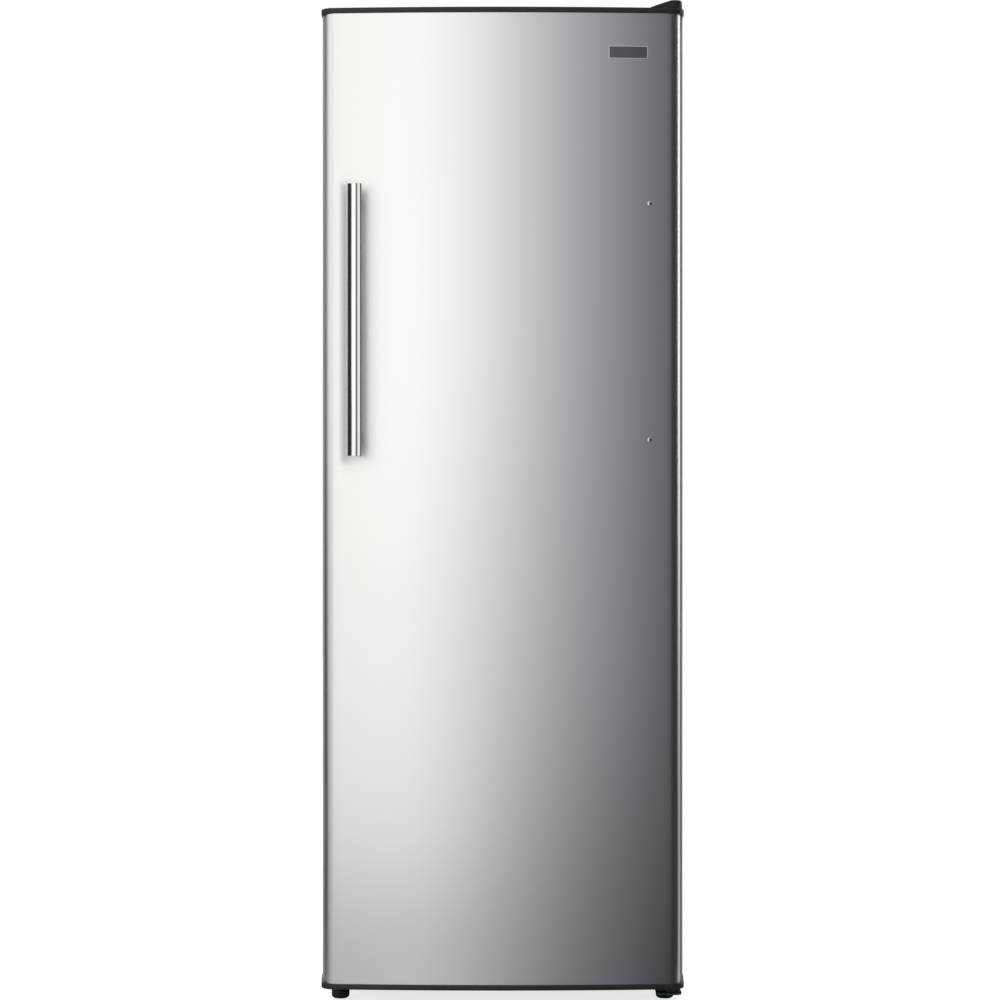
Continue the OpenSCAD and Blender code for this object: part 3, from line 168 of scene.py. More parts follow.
class Finish:
    """A material, or the world, whose nodes are made by short calls."""

    def __init__(self, name, owner=None):
        self.material = owner or bpy.data.materials.new(name)
        self.material.use_nodes = True
        self.tree = self.material.node_tree
        self.tree.nodes.clear()

    def node(self, kind, settings=None, inputs=None, output=0):
        """Any node: its type, its settings, then the values or links of its sockets."""
        made = self.tree.nodes.new(kind)
        for key, value in (settings or {}).items():
            setattr(made, key, value)
        for key, value in (inputs or {}).items():
            if isinstance(value, Socket):
                self.tree.links.new(value.output, made.inputs[key])
            else:
                made.inputs[key].default_value = value
        return Socket(self, made.outputs[output]) if made.outputs else None

    def place(self, stretch):
        """The piece's own coordinates, scaled by one number or by one for each axis."""
        own = self.node("ShaderNodeTexCoord", output="Object")
        scale = stretch if isinstance(stretch, tuple) else (stretch,) * 3
        return self.node("ShaderNodeMapping", None, {"Vector": own, "Scale": scale})

    def noise(self, stretch, detail=2.0, rough=0.5):
        """Cloudy pattern; stretch is in repeats per metre."""
        return self.node("ShaderNodeTexNoise", None,
                         {"Vector": self.place(stretch), "Scale": 1.0, "Detail": detail, "Roughness": rough})

    def cells(self, stretch, output=0, feature="F1"):
        """Cell pattern, as on galvanised sheet or foam."""
        return self.node("ShaderNodeTexVoronoi", {"feature": feature},
                         {"Vector": self.place(stretch), "Scale": 1.0}, output)

    def ramp(self, value, stops):
        """Redraws a value's levels. Stops are places and grey levels, two or more."""
        drawn = self.node("ShaderNodeValToRGB", None, {0: value})
        elements = drawn.output.node.color_ramp.elements
        while len(elements) < len(stops):
            elements.new(0.5)
        for element, (place, level) in zip(elements, stops):
            element.position = place
            element.color = (level, level, level, 1.0)
        return drawn

    def mix(self, share, first, second):
        """Blend of two colours."""
        return self.node("ShaderNodeMix", {"data_type": "RGBA"},
                         {0: share, 6: rgba(first), 7: rgba(second)}, 2)

    def bump(self, height, distance, strength=1.0):
        """Relief from a height pattern."""
        return self.node("ShaderNodeBump", None,
                         {"Height": height, "Distance": distance, "Strength": strength})

    def coordinate(self, axis):
        """X, Y or Z of the piece's own coordinates, numbered 0 to 2."""
        own = self.node("ShaderNodeTexCoord", output="Object")
        return self.node("ShaderNodeSeparateXYZ", None, {0: own}, axis)

    def along(self, axis, stops):
        """Levels along one axis, with the stops' places in metres."""
        start = stops[0][0]
        span = stops[-1][0] - start
        share = (self.coordinate(axis) - start) / span
        return self.ramp(share, [((at - start) / span, level) for at, level in stops])

    def upward(self):
        """1 on faces that look up, 0 on the others."""
        normal = self.node("ShaderNodeTexCoord", output="Normal")
        split = self.node("ShaderNodeSeparateXYZ", None, {0: normal}, 2)
        return self.ramp(split, [(0.6, 0.0), (0.95, 1.0)])

    def surface(self, **inputs):
        """The shader and the output. Names of sockets are written with underscores."""
        named = {key.replace("_", " "): value for key, value in inputs.items()}
        named["Base Color"] = rgba(named["Base Color"])
        shader = self.node("ShaderNodeBsdfPrincipled", None, named)
        self.node("ShaderNodeOutputMaterial", None, {0: shader})
        return self.material


def rgba(value):
    """A colour with its alpha, or a link as it is."""
    return value if isinstance(value, Socket) else (*value[:3], 1.0)


def shade(base, factor):
    """A lighter or darker colour."""
    return tuple(min(1.0, channel * factor) for channel in base)


def brushed(name, base, roughness, across, along, depth):
    """Metal with fine lines along Z."""
    finish = Finish(name)
    lines = finish.noise((across, across, along), 3.0, 0.6)
    cloud = finish.noise((5.0, 5.0, 2.0))
    return finish.surface(
        Base_Color=finish.mix(lines * 0.5 + cloud * 0.5, shade(base, 0.97), shade(base, 1.02)),
        Metallic=1.0, Roughness=roughness - 0.03 + lines * 0.04 + cloud * 0.02,
        Normal=finish.bump(lines, depth, 0.6))


def moulded(name, base, roughness, grain, depth, coat=0.0, spread=0.1, gloss=0.5):
    """Moulded plastic with a fine grain and faint shade changes."""
    finish = Finish(name)
    fine = finish.noise(grain, 3.0, 0.6)
    cloud = finish.noise(12.0)
    return finish.surface(
        Base_Color=finish.mix(cloud, shade(base, 1.0 - spread), shade(base, 1.0 + spread)),
        Roughness=roughness - 0.05 + cloud * 0.1, Specular_IOR_Level=gloss, Coat_Weight=coat,
        Coat_Roughness=0.25, Normal=finish.bump(fine, depth))


def painted(name, base, roughness, depth, metallic=0.0):
    """Powder coat with its orange peel."""
    finish = Finish(name)
    peel = finish.noise(420.0, 2.0, 0.4)
    cloud = finish.noise(4.0)
    return finish.surface(
        Base_Color=finish.mix(cloud, shade(base, 0.97), shade(base, 1.03)), Metallic=metallic,
        Roughness=roughness - 0.03 + cloud * 0.06, Normal=finish.bump(peel, depth))


def galvanised(name, base):
    """Zinc sheet with its flat crystals."""
    finish = Finish(name)
    crystal = finish.node("ShaderNodeSeparateColor", None, {0: finish.cells(70.0, output=1)}, 0)
    stain = finish.noise(9.0)
    return finish.surface(
        Base_Color=finish.mix(crystal * 0.8 + stain * 0.2, shade(base, 0.9), shade(base, 1.08)),
        Metallic=0.85, Roughness=0.36 + crystal * 0.14 + stain * 0.06,
        Normal=finish.bump(crystal, 0.00004))


def plated(name, base, roughness):
    """Small plated steel piece with turning marks."""
    finish = Finish(name)
    marks = finish.noise(900.0)
    tone = finish.noise(60.0)
    return finish.surface(
        Base_Color=finish.mix(tone, shade(base, 0.9), shade(base, 1.08)), Metallic=1.0,
        Roughness=roughness + marks * 0.08, Normal=finish.bump(marks, 0.00002))


def oxidised_copper(name, base):
    """Copper tube, brighter where it was handled."""
    finish = Finish(name)
    patch = finish.ramp(finish.noise(38.0, 4.0, 0.6), [(0.42, 0.0), (0.62, 1.0)])
    lines = finish.noise(600.0)
    return finish.surface(
        Base_Color=finish.mix(patch, base, (0.36, 0.17, 0.10)), Metallic=1.0,
        Roughness=0.26 + patch * 0.2 + lines * 0.04, Normal=finish.bump(lines, 0.00002))


def dusty_enamel(name):
    """Black enamel on the compressor, with dust where it looks up."""
    finish = Finish(name)
    dust = finish.upward() * finish.noise(30.0, 4.0, 0.6)
    peel = finish.noise(260.0)
    return finish.surface(
        Base_Color=finish.mix(dust * 0.5, (0.012, 0.012, 0.013), (0.30, 0.28, 0.25)),
        Roughness=0.2 + dust * 0.5, Coat_Weight=0.4, Coat_Roughness=0.08,
        Normal=finish.bump(peel, 0.00006))


def open_foam(name, base):
    """Rigid foam with small pores."""
    finish = Finish(name)
    pores = finish.cells(420.0)
    tone = finish.noise(14.0, 4.0)
    return finish.surface(
        Base_Color=finish.mix(tone * 0.7 + pores * 0.4, shade(base, 0.8), shade(base, 1.08)),
        Roughness=0.92, Normal=finish.bump(pores, 0.0012))


def clear_plastic(name, base, roughness, alpha):
    """See-through plastic with a faint flow pattern."""
    finish = Finish(name)
    flow = finish.noise((14.0, 14.0, 5.0))
    fine = finish.noise(300.0)
    return finish.surface(
        Base_Color=finish.mix(flow, shade(base, 0.97), shade(base, 1.03)),
        Roughness=roughness + flow * 0.05, Alpha=alpha - 0.05 + flow * 0.1, IOR=1.49, Coat_Weight=0.5,
        Coat_Roughness=0.05, Normal=finish.bump(fine, 0.00003))


def circuit(name):
    """Green board with lighter tracks."""
    finish = Finish(name)
    edges = finish.cells(190.0, feature="DISTANCE_TO_EDGE")
    track = finish.ramp(edges, [(0.04, 1.0), (0.08, 0.0)])
    return finish.surface(
        Base_Color=finish.mix(track, (0.018, 0.11, 0.045), (0.10, 0.30, 0.13)),
        Roughness=0.32 + track * 0.1, Coat_Weight=0.4, Normal=finish.bump(track, 0.00004))


def rubbery(name, base, roughness):
    """Soft rubber or vinyl with a matt bloom."""
    finish = Finish(name)
    bloom = finish.noise(45.0, 4.0, 0.6)
    fine = finish.noise(800.0)
    return finish.surface(
        Base_Color=finish.mix(bloom, shade(base, 0.9), shade(base, 1.12)),
        Roughness=roughness - 0.05 + bloom * 0.12, Sheen_Weight=0.15, Normal=finish.bump(fine, 0.00005))


def make_finishes(tint):
    """Every finish of the record's slots, by slot."""
    return {
        "stainless_sheet": brushed("stainless_sheet", tint.steel, 0.31, 1500.0, 6.0, 0.00001),
        "polished_bar": brushed("polished_bar", tint.bar, 0.13, 900.0, 30.0, 0.00001),
        "cabinet_paint": painted("cabinet_paint", tint.paint, 0.42, 0.00005, metallic=0.2),
        "side_paint": painted("side_paint", shade(tint.paint, 0.8), 0.5, 0.00005),
        "zinc_sheet": galvanised("zinc_sheet", tint.zinc),
        "zinc_fastener": plated("zinc_fastener", (0.66, 0.66, 0.64), 0.26),
        "black_plastic": moulded("black_plastic", tint.black, 0.42, 1100.0, 0.00006, gloss=0.3),
        "black_bracket": painted("black_bracket", (0.03, 0.03, 0.032), 0.4, 0.00006),
        "liner_plastic": moulded("liner_plastic", tint.liner, 0.3, 700.0, 0.00004, coat=0.25, spread=0.01),
        "bin_plastic": clear_plastic("bin_plastic", tint.clear, 0.06, 0.27),
        "white_wire": moulded("white_wire", (0.88, 0.88, 0.88), 0.24, 500.0, 0.00003, coat=0.4, spread=0.01),
        "foam": open_foam("foam", tint.foam),
        "copper": oxidised_copper("copper", tint.copper),
        "black_enamel": dusty_enamel("black_enamel"),
        "rubber": rubbery("rubber", (0.03, 0.03, 0.03), 0.75),
        "seal_vinyl": rubbery("seal_vinyl", tint.seal, 0.55),
        "evaporator_metal": plated("evaporator_metal", (0.78, 0.79, 0.80), 0.32),
        "heater_sheath": plated("heater_sheath", (0.35, 0.35, 0.36), 0.4),
        "grey_plastic": moulded("grey_plastic", (0.50, 0.51, 0.53), 0.4, 900.0, 0.00005, spread=0.03),
        "circuit_board": circuit("circuit_board"),
        "lens_plastic": clear_plastic("lens_plastic", (0.93, 0.94, 0.92), 0.35, 0.72),
        "nylon": moulded("nylon", (0.82, 0.82, 0.78), 0.45, 900.0, 0.00004, spread=0.02),
        "badge_metal": painted("badge_metal", (0.66, 0.68, 0.70), 0.22, 0.00001, metallic=0.6),
        "badge_field": brushed("badge_field", (0.25, 0.255, 0.275), 0.33, 60.0, 1800.0, 0.00001),
        "print": moulded("print", (0.05, 0.06, 0.07), 0.5, 900.0, 0.00002),
    }


finishes = {}


# ---------- mesh helpers ----------


def welded(mesh, near, flat=0.0):
    """An editable copy; points closer than near become one, faces within flat degrees are merged."""
    shell = bmesh.new()
    shell.from_mesh(mesh)
    bmesh.ops.remove_doubles(shell, verts=shell.verts, dist=near)
    if flat:
        bmesh.ops.dissolve_limit(shell, angle_limit=math.radians(flat), verts=shell.verts, edges=shell.edges)
    return shell


def face_outwards(mesh):
    """Turns every face to the outside."""
    shell = bmesh.new()
    shell.from_mesh(mesh)
    bmesh.ops.recalc_face_normals(shell, faces=shell.faces)
    shell.to_mesh(mesh)
    shell.free()


def put(name, data):
    """A new object in the scene."""
    made = bpy.data.objects.new(name, data)
    bpy.context.scene.collection.objects.link(made)
    return made


def add_piece(name, mesh, node, sharp=40.0):
    """A shaded piece that stands for a frame node and rides on that node's body."""
    face_outwards(mesh)
    mesh.shade_smooth()
    mesh.set_sharp_from_angle(angle=math.radians(sharp))
    piece = put(name, mesh)
    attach(piece, BODY_OF[node])
    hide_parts(node)
    return piece


def add_shape(name, shape, kinds, node, sharp=40.0, zones=None):
    """A piece from points and faces, with its finishes in order."""
    return add_piece(name, mesh_of(name, *shape, kinds, zones), node, sharp)


def mesh_of(name, verts, faces, kinds, zones=None):
    """A mesh with its finishes; zones gives each face's finish by number."""
    mesh = bpy.data.meshes.new(name)
    mesh.from_pydata(verts, [], faces)
    for kind in kinds:
        mesh.materials.append(finishes[kind])
    if zones:
        mesh.polygons.foreach_set("material_index", zones)
    mesh.update()
    return mesh


def arc(cx, cy, radius, start, end, count):
    """Points on an arc, angles in degrees."""
    step = (end - start) / count
    return [(cx + radius * math.cos(math.radians(start + step * i)),
             cy + radius * math.sin(math.radians(start + step * i))) for i in range(count + 1)]


def inset_rectangle(low, high, inset, radius, count=6):
    """Outline in X and Z of a box's front, drawn in by inset, with round corners."""
    near = inset + radius
    return (arc(high.x - near, low.z + near, radius, -90, 0, count)
            + arc(high.x - near, high.z - near, radius, 0, 90, count)
            + arc(low.x + near, high.z - near, radius, 90, 180, count)
            + arc(low.x + near, low.z + near, radius, 180, 270, count))


def stacked(rings, closed=True):
    """Faces that join rings of points, with both ends filled."""
    count = len(rings[0])
    verts = [point for ring in rings for point in ring]
    last = len(verts) - count
    faces = []
    for low in range(0, last, count):
        for i in range(count):
            j = (i + 1) % count
            faces.append((low + i, low + j, low + count + j, low + count + i))
    if closed:
        faces.append(tuple(reversed(range(count))))
        faces.append(tuple(range(last, last + count)))
    return verts, faces


def looped(rings):
    """Faces that join rings of points, the last one to the first."""
    verts, faces = stacked(rings + [rings[0]], False)
    total = len(verts) - len(rings[0])
    return verts[:total], [tuple(i % total for i in face) for face in faces]


def lathed(profile, facets):
    """Solid of revolution about Z with flat ends, from points (radius, height)."""
    turns = [2 * math.pi * i / facets for i in range(facets)]
    return stacked([[(radius * math.cos(turn), radius * math.sin(turn), height) for turn in turns]
                    for radius, height in profile])


def moved(shape, matrix):
    """Points and faces after a transform."""
    verts, faces = shape
    return [tuple(matrix @ Vector(point)) for point in verts], faces


def joined(parts):
    """Several lists of points and faces as one."""
    verts, faces = [], []
    for more_verts, more_faces in parts:
        start = len(verts)
        verts += list(more_verts)
        faces += [tuple(start + i for i in face) for face in more_faces]
    return verts, faces


def fused(name, parts, kind):
    """One closed mesh from overlapping solids, given as points and faces."""
    solids = [put(name, mesh_of(name, *part, (kind,))) for part in parts]
    for solid in solids:
        face_outwards(solid.data)
    for other in solids[1:]:
        union = solids[0].modifiers.new("union", "BOOLEAN")
        union.operation = "UNION"
        union.object = other
    whole = solids[0].evaluated_get(bpy.context.evaluated_depsgraph_get())
    mesh = bpy.data.meshes.new_from_object(whole)
    for solid in solids:
        bpy.data.objects.remove(solid)
    shell = welded(mesh, 0.00002, 0.05)
    shell.to_mesh(mesh)
    shell.free()
    return mesh


def islands(node):
    """Low and high corners of each separate solid in a node."""
    shell = welded(frame["nodes"][node].data, 0.00001)
    left = set(shell.verts)
    boxes = []
    while left:
        group = [left.pop()]
        for vert in group:
            for edge in vert.link_edges:
                other = edge.other_vert(vert)
                if other in left:
                    left.remove(other)
                    group.append(other)
        boxes.append([Vector([pick(vert.co[axis] for vert in group) for axis in range(3)])
                      for pick in (min, max)])
    shell.free()
    return sorted(boxes, key=lambda box: box[0].to_tuple(4))


def eased(node, width, segments=3, sharp=40.0):
    """A copy of a frame node with eased edges, which stands for that node."""
    mesh = frame["nodes"][node].data.copy()
    mesh.name = node + "_eased"
    shell = welded(mesh, 0.000005, 1.0)
    if width:
        corner = math.radians(32.0)
        hard = [edge for edge in shell.edges if edge.calc_face_angle(0.0) > corner]
        bmesh.ops.bevel(shell, geom=hard, offset=width, offset_type="OFFSET", segments=segments, profile=0.5,
                        affect="EDGES", clamp_overlap=True)
    shell.to_mesh(mesh)
    shell.free()
    mesh.materials.clear()
    mesh.materials.append(finishes[SLOT_OF[node]])
    piece = add_piece(node + "_eased", mesh, node, sharp)
    flat_faces = piece.modifiers.new("flat faces", "WEIGHTED_NORMAL")
    flat_faces.keep_sharp = True
    flat_faces.weight = 100
    return piece


def ease_each(widths):
    """Eases frame nodes by their own edge widths."""
    for node, width in widths.items():
        eased(node, width)


# ---------- door ----------


def front_arc(sizes, half, corner):
    """Radius and middle of the bowed front, and the middle and lean of its round upright edges."""
    radius = (SKIN_HIGH.x ** 2 + sizes.bow ** 2) / (2 * sizes.bow)
    middle = SKIN_LOW.y + radius
    corner_x = half - corner
    corner_y = middle - math.sqrt((radius - corner) ** 2 - corner_x ** 2)
    lean = math.degrees(math.asin(corner_x / (radius - corner)))
    return radius, middle, corner_x, corner_y, lean


def front_path(sizes, half, corner, grow=0.0, bend=10, run=48):
    """Plan of the bowed front and its round edges, grown outwards, from left to right."""
    radius, middle, corner_x, corner_y, lean = front_arc(sizes, half, corner)
    return (arc(-corner_x, corner_y, corner + grow, 180, 270 - lean, bend)
            + arc(0, middle, radius + grow, 270 - lean, 270 + lean, run)[1:-1]
            + arc(corner_x, corner_y, corner + grow, 270 + lean, 360, bend))


def door_outline(sizes, half, corner, grow, back):
    """Plan of the door grown outwards, from its left back corner round the front."""
    return [(-half - grow, back)] + front_path(sizes, half, corner, grow) + [(half + grow, back)]


def face_depth(sizes, x):
    """Place of the bowed front at a distance from the middle."""
    radius, middle = front_arc(sizes, SKIN_HIGH.x, sizes.corner)[:2]
    return middle - math.sqrt(radius ** 2 - x ** 2)


def side_frame(sizes, corner_y):
    """Left side in plan: back, painted frame, groove, and up to the steel's edge."""
    half = SKIN_HIGH.x
    edge, deep, set_back = 0.001, 0.002, 0.004
    face = corner_y + set_back
    steel = half - sizes.hem
    return ([(-half, SKIN_HIGH.y)]
            + arc(-half + edge, face + edge, edge, 180, 270, 3)
            + [(-steel - sizes.groove, face), (-steel - sizes.groove, face + deep), (-steel, face + deep)])


def sheet_solid(path, sheet, low, high):
    """A bent sheet between two heights: outer path, and inner path behind it."""
    inner = []
    for i, point in enumerate(path):
        before = Vector(path[max(i - 1, 0)])
        after = Vector(path[min(i + 1, len(path) - 1)])
        along = (after - before).normalized()
        inner.append((point[0] - along.y * sheet, point[1] + along.x * sheet))
    ring = list(path) + inner[::-1]
    return stacked([[(x, y, low) for x, y in ring], [(x, y, high) for x, y in ring]])


class FREEZER_OT_steel_front(Operator):
    """Bowed stainless front with a painted frame down each side, and the foam behind it"""

    bl_idname = "freezer.steel_front"
    bl_label = "Steel front"

    def execute(self, context):
        sizes = context.scene.freezer_door
        steel = SKIN_HIGH.x - sizes.hem
        left = side_frame(sizes, front_arc(sizes, steel, sizes.corner)[3])
        front = front_path(sizes, steel, sizes.corner, bend=14, run=64)
        path = left + front + [(-x, y) for x, y in reversed(left)]
        shape = sheet_solid(path, sizes.sheet, SKIN_LOW.z, SKIN_HIGH.z)
        # The groove's two walls and floor down each side take the black plastic finish: painted shade in the
        # crease between the steel and the side frame.
        groove = 3
        side = [1] * (len(left) - groove) + [2] * groove
        zones = side + [0] * (len(front) - 1) + side[::-1]
        zones += [1] * (len(shape[1]) - len(zones))
        kinds = ("stainless_sheet", "side_paint", "black_plastic")
        add_shape("steel_front", shape, kinds, "door_skin", 30.0, zones)
        gap = 0.001
        outline = door_outline(sizes, steel - gap, sizes.corner, 0.0, SKIN_HIGH.y - 2 * gap)
        rings = [[(x, y + gap, z) for x, y in outline] for z in (SKIN_LOW.z, SKIN_HIGH.z)]
        add_shape("door_foam_core", stacked(rings), ("foam",), "door_foam")
        return {"FINISHED"}


def cap_solid(sizes, low, high, roof):
    """An end cap: a lip all round the door's outline with rounded edges."""
    curve, chamfer, corner, inset = sizes.cap_round, 0.0006, 0.020, 0.004
    levels = [(low, CAP_LIP - chamfer), (low + chamfer, CAP_LIP)]
    levels += [(z, grow) for grow, z in arc(CAP_LIP - curve, high - curve, curve, 0, 90, 3)]
    levels += [(high, CAP_LIP - curve - inset)]
    rings = []
    for z, grow in levels:
        level = z if roof else low + high - z
        outline = door_outline(sizes, SKIN_HIGH.x, corner, grow, SKIN_HIGH.y)
        rings.append([(x, y, level) for x, y in outline])
    return stacked(rings)


def ear_solid(sign):
    """The bottom cap's ear on one side of the door, its front end sloping and its outer edges cut off."""
    reach, rise, slope, overlap, chamfer = 0.034, 0.008, 0.012, 0.002, 0.0008
    front, foot, head = SKIN_HIGH.y - reach, SKIN_LOW.z - overlap, SKIN_LOW.z + rise
    side = [(front, foot), (SKIN_HIGH.y, foot), (SKIN_HIGH.y, head), (front + slope, head)]
    middle = Vector((SKIN_HIGH.y - reach / 2, SKIN_LOW.z + rise / 2))
    rings = []
    for out, inset in ((0.0, 0.0), (CAP_LIP - chamfer, 0.0), (CAP_LIP, chamfer)):
        ring = []
        for y, z in side:
            inward = (middle - Vector((y, z))).normalized() * inset
            ring.append((sign * (SKIN_HIGH.x + out), y + inward.x, z + inward.y))
        rings.append(ring)
    return stacked(rings)


class FREEZER_OT_end_caps(Operator):
    """Black plastic caps over the door's top and bottom, the lower one with an ear round each side"""

    bl_idname = "freezer.end_caps"
    bl_label = "End caps"

    def execute(self, context):
        sizes = context.scene.freezer_door
        top = cap_solid(sizes, SKIN_HIGH.z, CAP_HIGH.z, True)
        add_shape("top_end_cap", top, ("black_plastic",), "door_top_cap", 50.0)
        bottom = cap_solid(sizes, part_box("door_bottom_cap")[0].z, SKIN_LOW.z, False)
        mesh = fused("bottom_end_cap", [bottom, ear_solid(-1), ear_solid(1)], "black_plastic")
        add_piece("bottom_end_cap", mesh, "door_bottom_cap", 50.0)
        return {"FINISHED"}


class FREEZER_OT_handle(Operator):
    """Round handle bar on two posts"""

    bl_idname = "freezer.handle"
    bl_label = "Handle"

    def execute(self, context):
        sizes = context.scene.freezer_door
        low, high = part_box("handle_bar")
        centre = (low + high) / 2
        radius, half = (high.x - low.x) / 2, (high.z - low.z) / 2
        edge = sizes.handle_edge
        profile = arc(radius - edge, edge - half, edge, -90, 0, 3)
        profile += [(r, -z) for r, z in reversed(profile)]
        bar = moved(lathed(profile, sizes.facets), Matrix.Translation(centre))
        add_shape("handle_tube", bar, ("polished_bar",), "handle_bar", 30.0)
        post, inside_bar = 0.008, 0.8
        start = centre.y + radius * inside_bar
        run = face_depth(sizes, centre.x) + sizes.sheet - start
        flare = ((0.0, 0.004), (0.0006, 0.002), (0.0016, 0.0))
        profile = [(post, 0)] + [(post + wider, run - before) for wider, before in flare]
        posts = []
        for low, high in islands("handle_posts"):
            place = Matrix.Translation((centre.x, start, (low.z + high.z) / 2))
            turn = Matrix.Rotation(math.radians(-90), 4, "X")
            posts.append(moved(lathed(profile, sizes.facets), place @ turn))
        add_shape("handle_feet", joined(posts), ("polished_bar",), "handle_posts", 30.0)
        return {"FINISHED"}


class FREEZER_OT_door_trim(Operator):
    """Plugs in the spare handle holes, and the bare badge"""

    bl_idname = "freezer.door_trim"
    bl_label = "Plugs and badge"

    def execute(self, context):
        sizes = context.scene.freezer_door
        dome = ((1.0, 0.0), (1.0, 0.0006), (0.92, 0.0010), (0.7, 0.0013), (0.3, 0.0014))
        sunk = 0.0001
        plugs = []
        for low, high in islands("hole_plugs"):
            centre, radius = (low + high) / 2, (high.x - low.x) / 2
            tilt = math.asin(centre.x / front_arc(sizes, SKIN_HIGH.x, sizes.corner)[0])
            place = Matrix.Translation((centre.x, face_depth(sizes, centre.x) + sunk, centre.z))
            turn = Matrix.Rotation(tilt, 4, "Z") @ Matrix.Rotation(math.radians(90), 4, "X")
            cap = lathed([(radius * share, height) for share, height in dome], sizes.facets // 2)
            plugs.append(moved(cap, place @ turn))
        add_shape("plug_caps", joined(plugs), ("polished_bar",), "hole_plugs")
        low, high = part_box("badge_plate")
        rim, proud, chamfer, slope, field = sizes.badge_rim, 0.0012, 0.0003, 0.0004, 0.0007
        corner, tightest = 0.0022, 0.0006
        steps = ((0.0, 0.0), (0.0, proud - chamfer), (chamfer, proud), (rim, proud), (rim + slope, field))
        rings = []
        for inset, height in steps:
            outline = inset_rectangle(low, high, inset, max(corner - inset, tightest))
            rings.append([(x, face_depth(sizes, x) - height, z) for x, z in outline])
        shape = stacked(rings)
        zones = [0] * (len(shape[1]) - 1) + [1]
        add_shape("badge_blank", shape, ("badge_metal", "badge_field"), "badge_plate", 30.0, zones)
        return {"FINISHED"}


class FREEZER_OT_door_seal(Operator):
    """Magnetic seal with its soft bellows round the door's inside"""

    bl_idname = "freezer.door_seal"
    bl_label = "Door seal"

    def execute(self, context):
        sizes = context.scene.freezer_door
        low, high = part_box("door_seal")
        width, thick, tightest = 0.018, high.y - low.y, 0.0006
        side = [(0.0, 0.0), (0.0, 0.18), (0.10, 0.28), (0.20, 0.36), (0.22, 0.46), (0.16, 0.56), (0.06, 0.64),
                (0.03, 0.78), (0.08, 0.94), (0.20, 1.0)]
        profile = side + [(1.0 - across, up) for across, up in reversed(side)]
        rings = []
        for across, up in profile:
            inset = across * width
            outline = inset_rectangle(low, high, inset, max(sizes.seal_corner - inset, tightest))
            rings.append([(x, low.y + up * thick, z) for x, z in outline])
        add_shape("seal_bellows", looped(rings), ("seal_vinyl",), "door_seal", 60.0)
        return {"FINISHED"}


class FREEZER_OT_door_inside(Operator):
    """Door liner and its bins"""

    bl_idname = "freezer.door_inside"
    bl_label = "Door inside"

    def execute(self, context):
        ease_each({"door_liner": 0.0009, "door_bin_1": 0.0008, "door_bin_2": 0.0008,
                   "door_bins_upper": 0.0008})
        return {"FINISHED"}


# ---------- cabinet ----------


class FREEZER_OT_cabinet(Operator):
    """Steel wrap, back, base, deck, rear cover, spacers and cord gland"""

    bl_idname = "freezer.cabinet"
    bl_label = "Cabinet"

    def execute(self, context):
        ease_each({"cabinet_shell": 0.00035, "back_panel": 0.0003, "base_pan": 0.0004,
                   "compressor_deck": 0.0006, "rear_cover": 0.0004, "wall_spacers": 0.0015,
                   "cord_gland": 0.0008})
        return {"FINISHED"}


class FREEZER_OT_inside(Operator):
    """Liner, duct panel, controls and lamp lens"""

    bl_idname = "freezer.inside"
    bl_label = "Inside"

    def execute(self, context):
        ease_each({"cabinet_liner": 0.0006, "duct_cover": 0.0007, "control_housing": 0.0008,
                   "lamp_lens": 0.0005, "thermostat_knob": 0.0009, "mode_rocker": 0.0009})
        return {"FINISHED"}


class FREEZER_OT_dial(Operator):
    """Numbers 0 to 5 round the thermostat knob"""

    bl_idname = "freezer.dial"
    bl_label = "Dial"

    def execute(self, context):
        low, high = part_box("thermostat_knob")
        centre = (low + high) / 2
        inset, face, step = 0.0032, low.y + 0.0069, -50.0
        reach = (high.x - low.x) / 2 - inset
        for number in range(6):
            name = "dial_number_%d" % number
            turn = math.radians(step * number)
            text = bpy.data.curves.new(name, "FONT")
            text.body = str(number)
            text.size = 0.0052
            text.extrude = 0.00012
            text.align_x = "CENTER"
            text.align_y = "CENTER"
            text.materials.append(finishes["print"])
            figure = put(name, text)
            place = (centre.x + reach * math.sin(-turn), face, centre.z + reach * math.cos(turn))
            figure.matrix_world = (Matrix.Translation(place) @ Matrix.Rotation(turn, 4, "Y")
                                   @ Matrix.Rotation(math.radians(90), 4, "X"))
            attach(figure, "knob")
        return {"FINISHED"}


class FREEZER_OT_shelves(Operator):
    """Five wire shelves"""

    bl_idname = "freezer.shelves"
    bl_label = "Shelves"

    def execute(self, context):
        for number in range(1, 6):
            eased("shelf_%d" % number, 0.0004, 2, 60.0)
        return {"FINISHED"}


class FREEZER_OT_cooling(Operator):
    """Compressor, tubes, evaporator, heater, fan, drier and trays"""

    bl_idname = "freezer.cooling"
    bl_label = "Cooling unit"

    def execute(self, context):
        ease_each({"compressor": 0.0012, "relay_box": 0.002, "drip_tray": 0.0008, "drain_trough": 0.0006,
                   "fan_motor": 0.001, "fan_blade": 0.0005, "compressor_grommets": 0.0008,
                   "compressor_bolts": 0.0004})
        for node in ("refrigerant_lines", "condenser_coil", "evaporator", "defrost_heater", "filter_drier",
                     "drain_tube"):
            eased(node, 0.0, 1, 60.0)
        return {"FINISHED"}


# ---------- hinges, screws, feet ----------


class FREEZER_OT_hinges(Operator):
    """Hinge brackets, cover, pins and bushes"""

    bl_idname = "freezer.hinges"
    bl_label = "Hinges"

    def execute(self, context):
        ease_each({"top_hinge_bracket": 0.0006, "top_hinge_cover": 0.0007, "bottom_hinge_bracket": 0.0007,
                   "hinge_bushes": 0.0004})
        pins = eased("hinge_pins", 0.0005).data
        pins.materials.append(finishes["black_bracket"])
        for face in pins.polygons:
            face.material_index = int(face.center.z < DOOR_MIDDLE)
        return {"FINISHED"}


HEAD_RADIUS, HEAD_HEIGHT, SHANK_RADIUS = 0.0045, 0.0025, 0.0025


